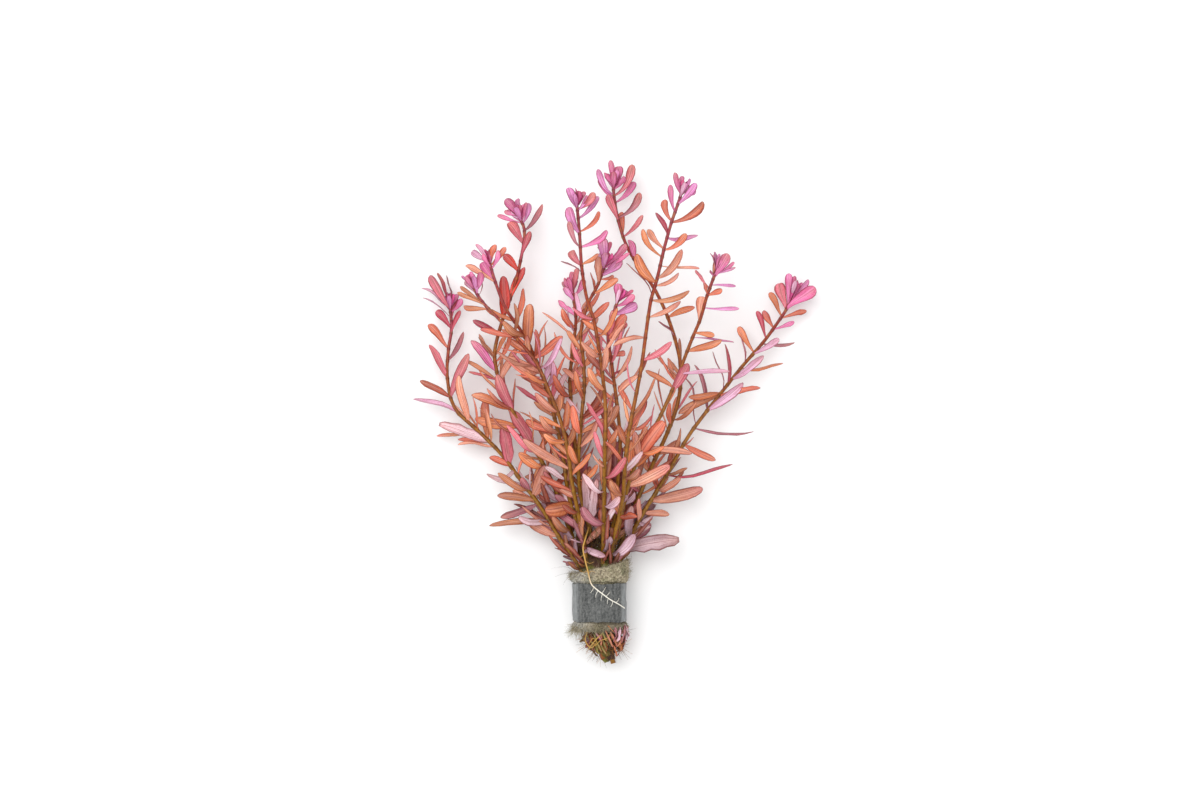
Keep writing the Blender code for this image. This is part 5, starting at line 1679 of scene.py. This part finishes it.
class ROTALA_OT_foam(bpy.types.Operator):
    """Build the foam wrap with its pits, its slanted top and its loose fibres"""

    bl_idname = "rotala.foam"
    bl_label = "Foam Wrap"

    def execute(self, context):
        settings = context.scene.rotala_collar
        deselect()
        radius, height = FOAM_OUTLINE[0]
        bpy.ops.mesh.primitive_circle_add(vertices=FOAM_SIDES, radius=radius * MM,
                                          location=(0, 0, height * MM))
        foam = bpy.context.object
        bpy.ops.object.transform_apply(location=True, rotation=False, scale=False)
        bpy.ops.object.mode_set(mode="EDIT")
        bpy.ops.mesh.select_all(action="SELECT")
        for wide, tall in FOAM_OUTLINE[1:]:
            bpy.ops.mesh.extrude_region_move(
                TRANSFORM_OT_translate={"value": (0, 0, (tall - height) * MM)})
            bpy.ops.transform.resize(value=(wide / radius, wide / radius, 1),
                                     center_override=(0, 0, tall * MM))
            radius, height = wide, tall
        bpy.ops.object.mode_set(mode="OBJECT")
        foam.rotation_euler.x = math.radians(-90)
        foam.location.z = AXIS_Z * MM
        bpy.ops.object.transform_apply(location=True, rotation=True, scale=False)
        close_up(foam)
        apply_modifier(foam, "SUBSURF", levels=2, render_levels=2)
        self.slant(foam)
        self.roughen(foam)
        bpy.ops.object.shade_smooth()
        finish_piece(foam, "foam", "foam", "foam_wrap", material=foam_material(settings))
        self.fibres(settings)
        return {"FINISHED"}

    def slant(self, foam):
        """Draw the top down to its slanted cut and flatten what lies on the floor."""
        rise = math.tan(math.radians(FOAM_SLANT))
        for vertex in foam.data.vertices:
            x, y = vertex.co.x / MM, vertex.co.y / MM
            if y > NECK:
                top = FOAM_TOP + rise * x
                vertex.co.y = (NECK + (y - NECK) * (top - NECK) / (FOAM_TALL - NECK)) * MM
            vertex.co.z = max(vertex.co.z, FOAM_FLAT * MM)

    def roughen(self, foam):
        """Pits and tears in the cut foam, left alone under the strip."""
        mesh = foam.data
        normals = [vertex.normal.copy() for vertex in mesh.vertices]
        for vertex, normal in zip(mesh.vertices, normals):
            place = vertex.co / MM
            if abs(place.y) < STRIP_HALF or place.z < FOAM_FLAT + 0.4:
                continue
            vertex.co += normal * (layered(place, FOAM_ROUGH) - 0.1) * MM
            if abs(place.y) > STRIP_HALF + 3:
                ragged = noise.noise(Vector((place.x, 0, place.z)) * 0.6) * 0.7
                vertex.co.y += ragged * MM * math.copysign(1, place.y)

    def fibres(self, settings):
        """Loose fibres and algae threads that stand out of the foam above and below."""
        draw = random.Random(FIBRE_SEED)
        pale, green = np.array(settings.foam_pale), np.array(settings.foam_green)
        strands = []
        for _ in range(settings.fibres):
            angle = math.radians(draw.uniform(*FIBRE_ARC))
            upper = draw.random() < FIBRES_ABOVE
            x = math.cos(angle) * FOAM_SIDE
            top = FOAM_TOP + math.tan(math.radians(FOAM_SLANT)) * x
            height = draw.uniform(8.4, top) if upper else draw.uniform(FOAM_LOW, -8.3)
            out = outward(angle)
            radius = FOAM_SIDE - 0.5 if upper else FOAM_SIDE - 1.0
            start = out * radius + Vector((0, height, AXIS_Z))
            lean = draw.uniform(0.1, 1.2) * (1 if upper else -1)
            way = (out * draw.uniform(0.15, 0.8)
                   + Vector((draw.uniform(-0.9, 0.9), lean, draw.uniform(-0.4, 0.4)))).normalized()
            bend = Vector([draw.uniform(-1, 1) for _ in range(3)]) * 1.1
            colour = mix(pale, green, draw.random() ** 2) * draw.uniform(0.7, 1.3)
            long = draw.uniform(*FIBRE_LENGTH) * (1 if upper or x > 2 else LEFT_FIBRES_LONGER)
            strands.append((start, way, bend, long, FIBRE_THICK, np.clip(colour, 0, 1)))
        rod = strand_blank()
        piece = strand_piece("foam_fibres", rod, strands)
        finish_piece(piece, "foam_fibres", "foam", material=strand_material())
        bpy.data.objects.remove(rod)


class ROTALA_OT_moss(bpy.types.Operator):
    """Build the dark moss between the stems over and under the foam; over the foam its dark mass
    is partly painted shade
    """

    bl_idname = "rotala.moss"
    bl_label = "Moss"

    def execute(self, context):
        settings = context.scene.rotala_collar
        draw = random.Random(MOSS_SEED)
        brown, green = np.array(settings.moss_brown), np.array(settings.moss_green)
        straw = np.array(settings.moss_straw)
        strands = []
        for _ in range(settings.moss):
            angle = math.radians(draw.uniform(0, 360))
            radius = FOAM_MOUTH * draw.random() ** 0.5 * 0.86
            out = outward(angle)
            below = draw.random() < MOSS_BELOW
            height = draw.uniform(FOAM_LOW - 7, FOAM_LOW + 1) if below else draw.uniform(11, 26)
            start = out * radius * (0.7 if below else 1) + Vector((0, height, AXIS_Z))
            start.x += max(0, FOAM_LOW - height) * 0.45
            way = Vector((draw.uniform(-1, 1), draw.uniform(-1, 0) if below else 0.8,
                          draw.uniform(-0.7, 0.9))).normalized()
            bend = Vector([draw.uniform(-1, 1) for _ in range(3)]) * 3.4
            long = draw.uniform(*MOSS_LENGTH)
            patch = noise.noise(start * 0.25) * 2.2 + draw.uniform(-0.3, 0.3)
            colour = mix(brown, green, clamp(patch)) * draw.uniform(0.7, 1.6)
            if below and draw.random() < 0.55:
                colour = straw * draw.uniform(0.6, 1.3)
            strands.append((start, way, bend, long, MOSS_THICK[0 if below else 1],
                            np.clip(colour, 0, 1)))
        for x, y, z, left, up, long in HAIRS:
            way = Vector((left, up, 0.1)).normalized()
            bend = Vector((-up, left, 0)) * long * 0.7
            strands.append((Vector((x, y, z)), way, bend, long, HAIR_THICK, brown))
        rod = strand_blank()
        piece = strand_piece("moss", rod, strands)
        beds = [self.bed(*size, brown, green) for size in MOSS_BEDS]
        piece = join([piece, *beds], "moss")
        finish_piece(piece, "moss", "foliage", material=strand_material())
        bpy.data.objects.remove(rod)
        return {"FINISHED"}

    def bed(self, x, y, wide, deep, brown, green):
        """A lump of matted moss that the stems stand in; the one over the foam is dark partly as
        painted shade.
        """
        deselect()
        bpy.ops.mesh.primitive_ico_sphere_add(subdivisions=5, radius=1)
        lump = bpy.context.object
        paint = []
        for vertex in lump.data.vertices:
            place = Vector((vertex.co.x * wide, vertex.co.y * deep, vertex.co.z * wide))
            rough = layered(place, BED_ROUGH)
            place += vertex.co * rough + Vector((x, y, AXIS_Z))
            vertex.co = place * MM
            patch = layered(place, BED_PATCHES)
            # Darker in the hollows and lighter on the bumps: painted shade and painted highlight
            colour = mix(brown, green, clamp(patch)) * (0.9 + rough * 0.35)
            paint.append((*np.clip(colour, 0, 1), 1))
        paint_mesh(lump.data, paint)
        bpy.ops.object.shade_smooth()
        return lump


def strip_line():
    """The strip's outer face seen along the bunch, from its buried end to its free end."""
    turn = 360 + STRIP_LAP
    line = []
    for number in range(STRIP_STEPS + 1):
        swept = turn * number / STRIP_STEPS
        angle = math.radians(STRIP_END + turn - swept)
        lapped = clamp((swept - (360 - STRIP_RISE)) / STRIP_RISE)
        radius = STRIP_OUT + (STRIP_THICK + GAP) * ease(lapped)
        line.append((radius * math.cos(angle), max(AXIS_Z + radius * math.sin(angle), 0)))
    return line


class ROTALA_OT_strip(bpy.types.Operator):
    """Build the lead strip: drawn round the foam, thickened, dented and its edges broken"""

    bl_idname = "rotala.strip"
    bl_label = "Lead Strip"

    def execute(self, context):
        settings = context.scene.rotala_collar
        line = strip_line()
        deselect()
        bpy.ops.mesh.primitive_grid_add(x_subdivisions=1, y_subdivisions=STRIP_ROWS, size=1)
        strip = bpy.context.object
        (x0, z0), (x1, z1) = line[:2]
        for vertex in strip.data.vertices:
            far = vertex.co.x > 0
            vertex.co = (x1 * MM if far else x0 * MM, vertex.co.y * STRIP_HALF * 2 * MM,
                         z1 * MM if far else z0 * MM)
        bpy.ops.object.mode_set(mode="EDIT")
        pick(strip, lambda co: (co - Vector((x1 * MM, co.y, z1 * MM))).length < 0.01 * MM)
        for (x0, z0), (x1, z1) in zip(line[1:], line[2:]):
            bpy.ops.mesh.extrude_region_move(
                TRANSFORM_OT_translate={"value": ((x1 - x0) * MM, 0, (z1 - z0) * MM)})
        bpy.ops.mesh.select_all(action="SELECT")
        bpy.ops.object.mode_set(mode="OBJECT")
        first = strip.data.polygons[0]
        outward = first.center - Vector((0, first.center.y, AXIS_Z * MM))
        if first.normal.dot(outward) < 0:
            bpy.ops.object.mode_set(mode="EDIT")
            bpy.ops.mesh.flip_normals()
            bpy.ops.object.mode_set(mode="OBJECT")
        self.dent(strip)
        apply_modifier(strip, "SOLIDIFY", thickness=STRIP_THICK * MM, offset=-1)
        apply_modifier(strip, "BEVEL", width=STRIP_BEVEL * MM, segments=2, limit_method="ANGLE",
                       angle_limit=math.radians(50))
        bpy.ops.object.shade_smooth_by_angle(angle=math.radians(40))
        finish_piece(strip, "lead_strip_bent", "lead", "lead_strip",
                     material=lead_material(settings))
        return {"FINISHED"}

    def dent(self, strip):
        """Finger dents in the soft metal, and edges that wander a little."""
        mesh = strip.data
        normals = [vertex.normal.copy() for vertex in mesh.vertices]
        for vertex, normal in zip(mesh.vertices, normals):
            place = vertex.co / MM
            edge = abs(place.y) / STRIP_HALF
            around = Vector((place.x, 0, place.z))
            wander = noise.noise(around * 0.32) * 0.55 * edge ** 4 * math.copysign(1, place.y)
            vertex.co.y += wander * MM
            if place.z > 0.4:
                crease = noise.noise(Vector((place.x * 0.55, place.y * 0.05, place.z * 0.55)))
                dent = 0.16 + noise.noise(place * 0.2) * 0.32 + crease * 0.28
                vertex.co -= normal * max(dent, -0.12) * MM


class ROTALA_OT_stage(bpy.types.Operator):
    """Build the floor, the light and the camera that looks down on the bunch"""

    bl_idname = "rotala.stage"
    bl_label = "Stage"

    def execute(self, context):
        settings = context.scene.rotala_stage
        deselect()
        bpy.ops.mesh.primitive_plane_add(size=FLOOR_SIZE, location=(0, 0, 0))
        floor = bpy.context.object
        floor.name = "floor"
        floor.data.materials.append(floor_material(settings))
        world = bpy.data.worlds.new("even_light")
        world.use_nodes = True
        sky = world.node_tree.nodes["Background"]
        sky.inputs["Color"].default_value = (1, 1, 1, 1)
        sky.inputs["Strength"].default_value = settings.sky
        context.scene.world = world
        bpy.ops.object.light_add(type="AREA", location=LIGHT_PLACE)
        key = bpy.context.object
        key.name = "soft_light"
        key.data.energy = settings.light
        key.data.size = LIGHT_SIZE
        aim = Vector(LIGHT_AIM) - key.location
        key.rotation_euler = aim.to_track_quat("-Z", "Y").to_euler()
        bpy.ops.object.camera_add(location=(CAMERA_X, CAMERA_Y, settings.height))
        camera = bpy.context.object
        camera.rotation_euler = (0, 0, 0)
        camera.data.sensor_width = 36
        camera.data.lens = settings.lens
        context.scene.camera = camera
        context.scene.view_settings.view_transform = "Standard"
        return {"FINISHED"}


class ROTALA_PT_panel(bpy.types.Panel):
    """The parts of the rotala bunch"""

    bl_label = "Rotala Bunch"
    bl_idname = "ROTALA_PT_panel"
    bl_space_type = "VIEW_3D"
    bl_region_type = "UI"
    bl_category = "Rotala"

    def draw(self, context):
        for operator in OPERATORS:
            self.layout.operator(operator.bl_idname)


OPERATORS = (ROTALA_OT_stage, ROTALA_OT_stems, ROTALA_OT_foam, ROTALA_OT_moss, ROTALA_OT_strip)
SETTINGS = dict(rotala_leaf_colours=RotalaLeafColours, rotala_plant=RotalaPlantSettings,
                rotala_collar=RotalaCollarSettings, rotala_stage=RotalaStageSettings)


def register():
    for group in SETTINGS.values():
        bpy.utils.register_class(group)
    for name, group in SETTINGS.items():
        setattr(bpy.types.Scene, name, bpy.props.PointerProperty(type=group))
    for operator in OPERATORS:
        bpy.utils.register_class(operator)
    bpy.utils.register_class(ROTALA_PT_panel)


def unregister():
    bpy.utils.unregister_class(ROTALA_PT_panel)
    for operator in reversed(OPERATORS):
        bpy.utils.unregister_class(operator)
    for name in SETTINGS:
        delattr(bpy.types.Scene, name)
    for group in reversed(SETTINGS.values()):
        bpy.utils.unregister_class(group)


def main():
    register()
    bpy.ops.rotala.stage()
    bpy.ops.rotala.stems()
    bpy.ops.rotala.foam()
    bpy.ops.rotala.moss()
    bpy.ops.rotala.strip()


if __name__ == "__main__":
    main()
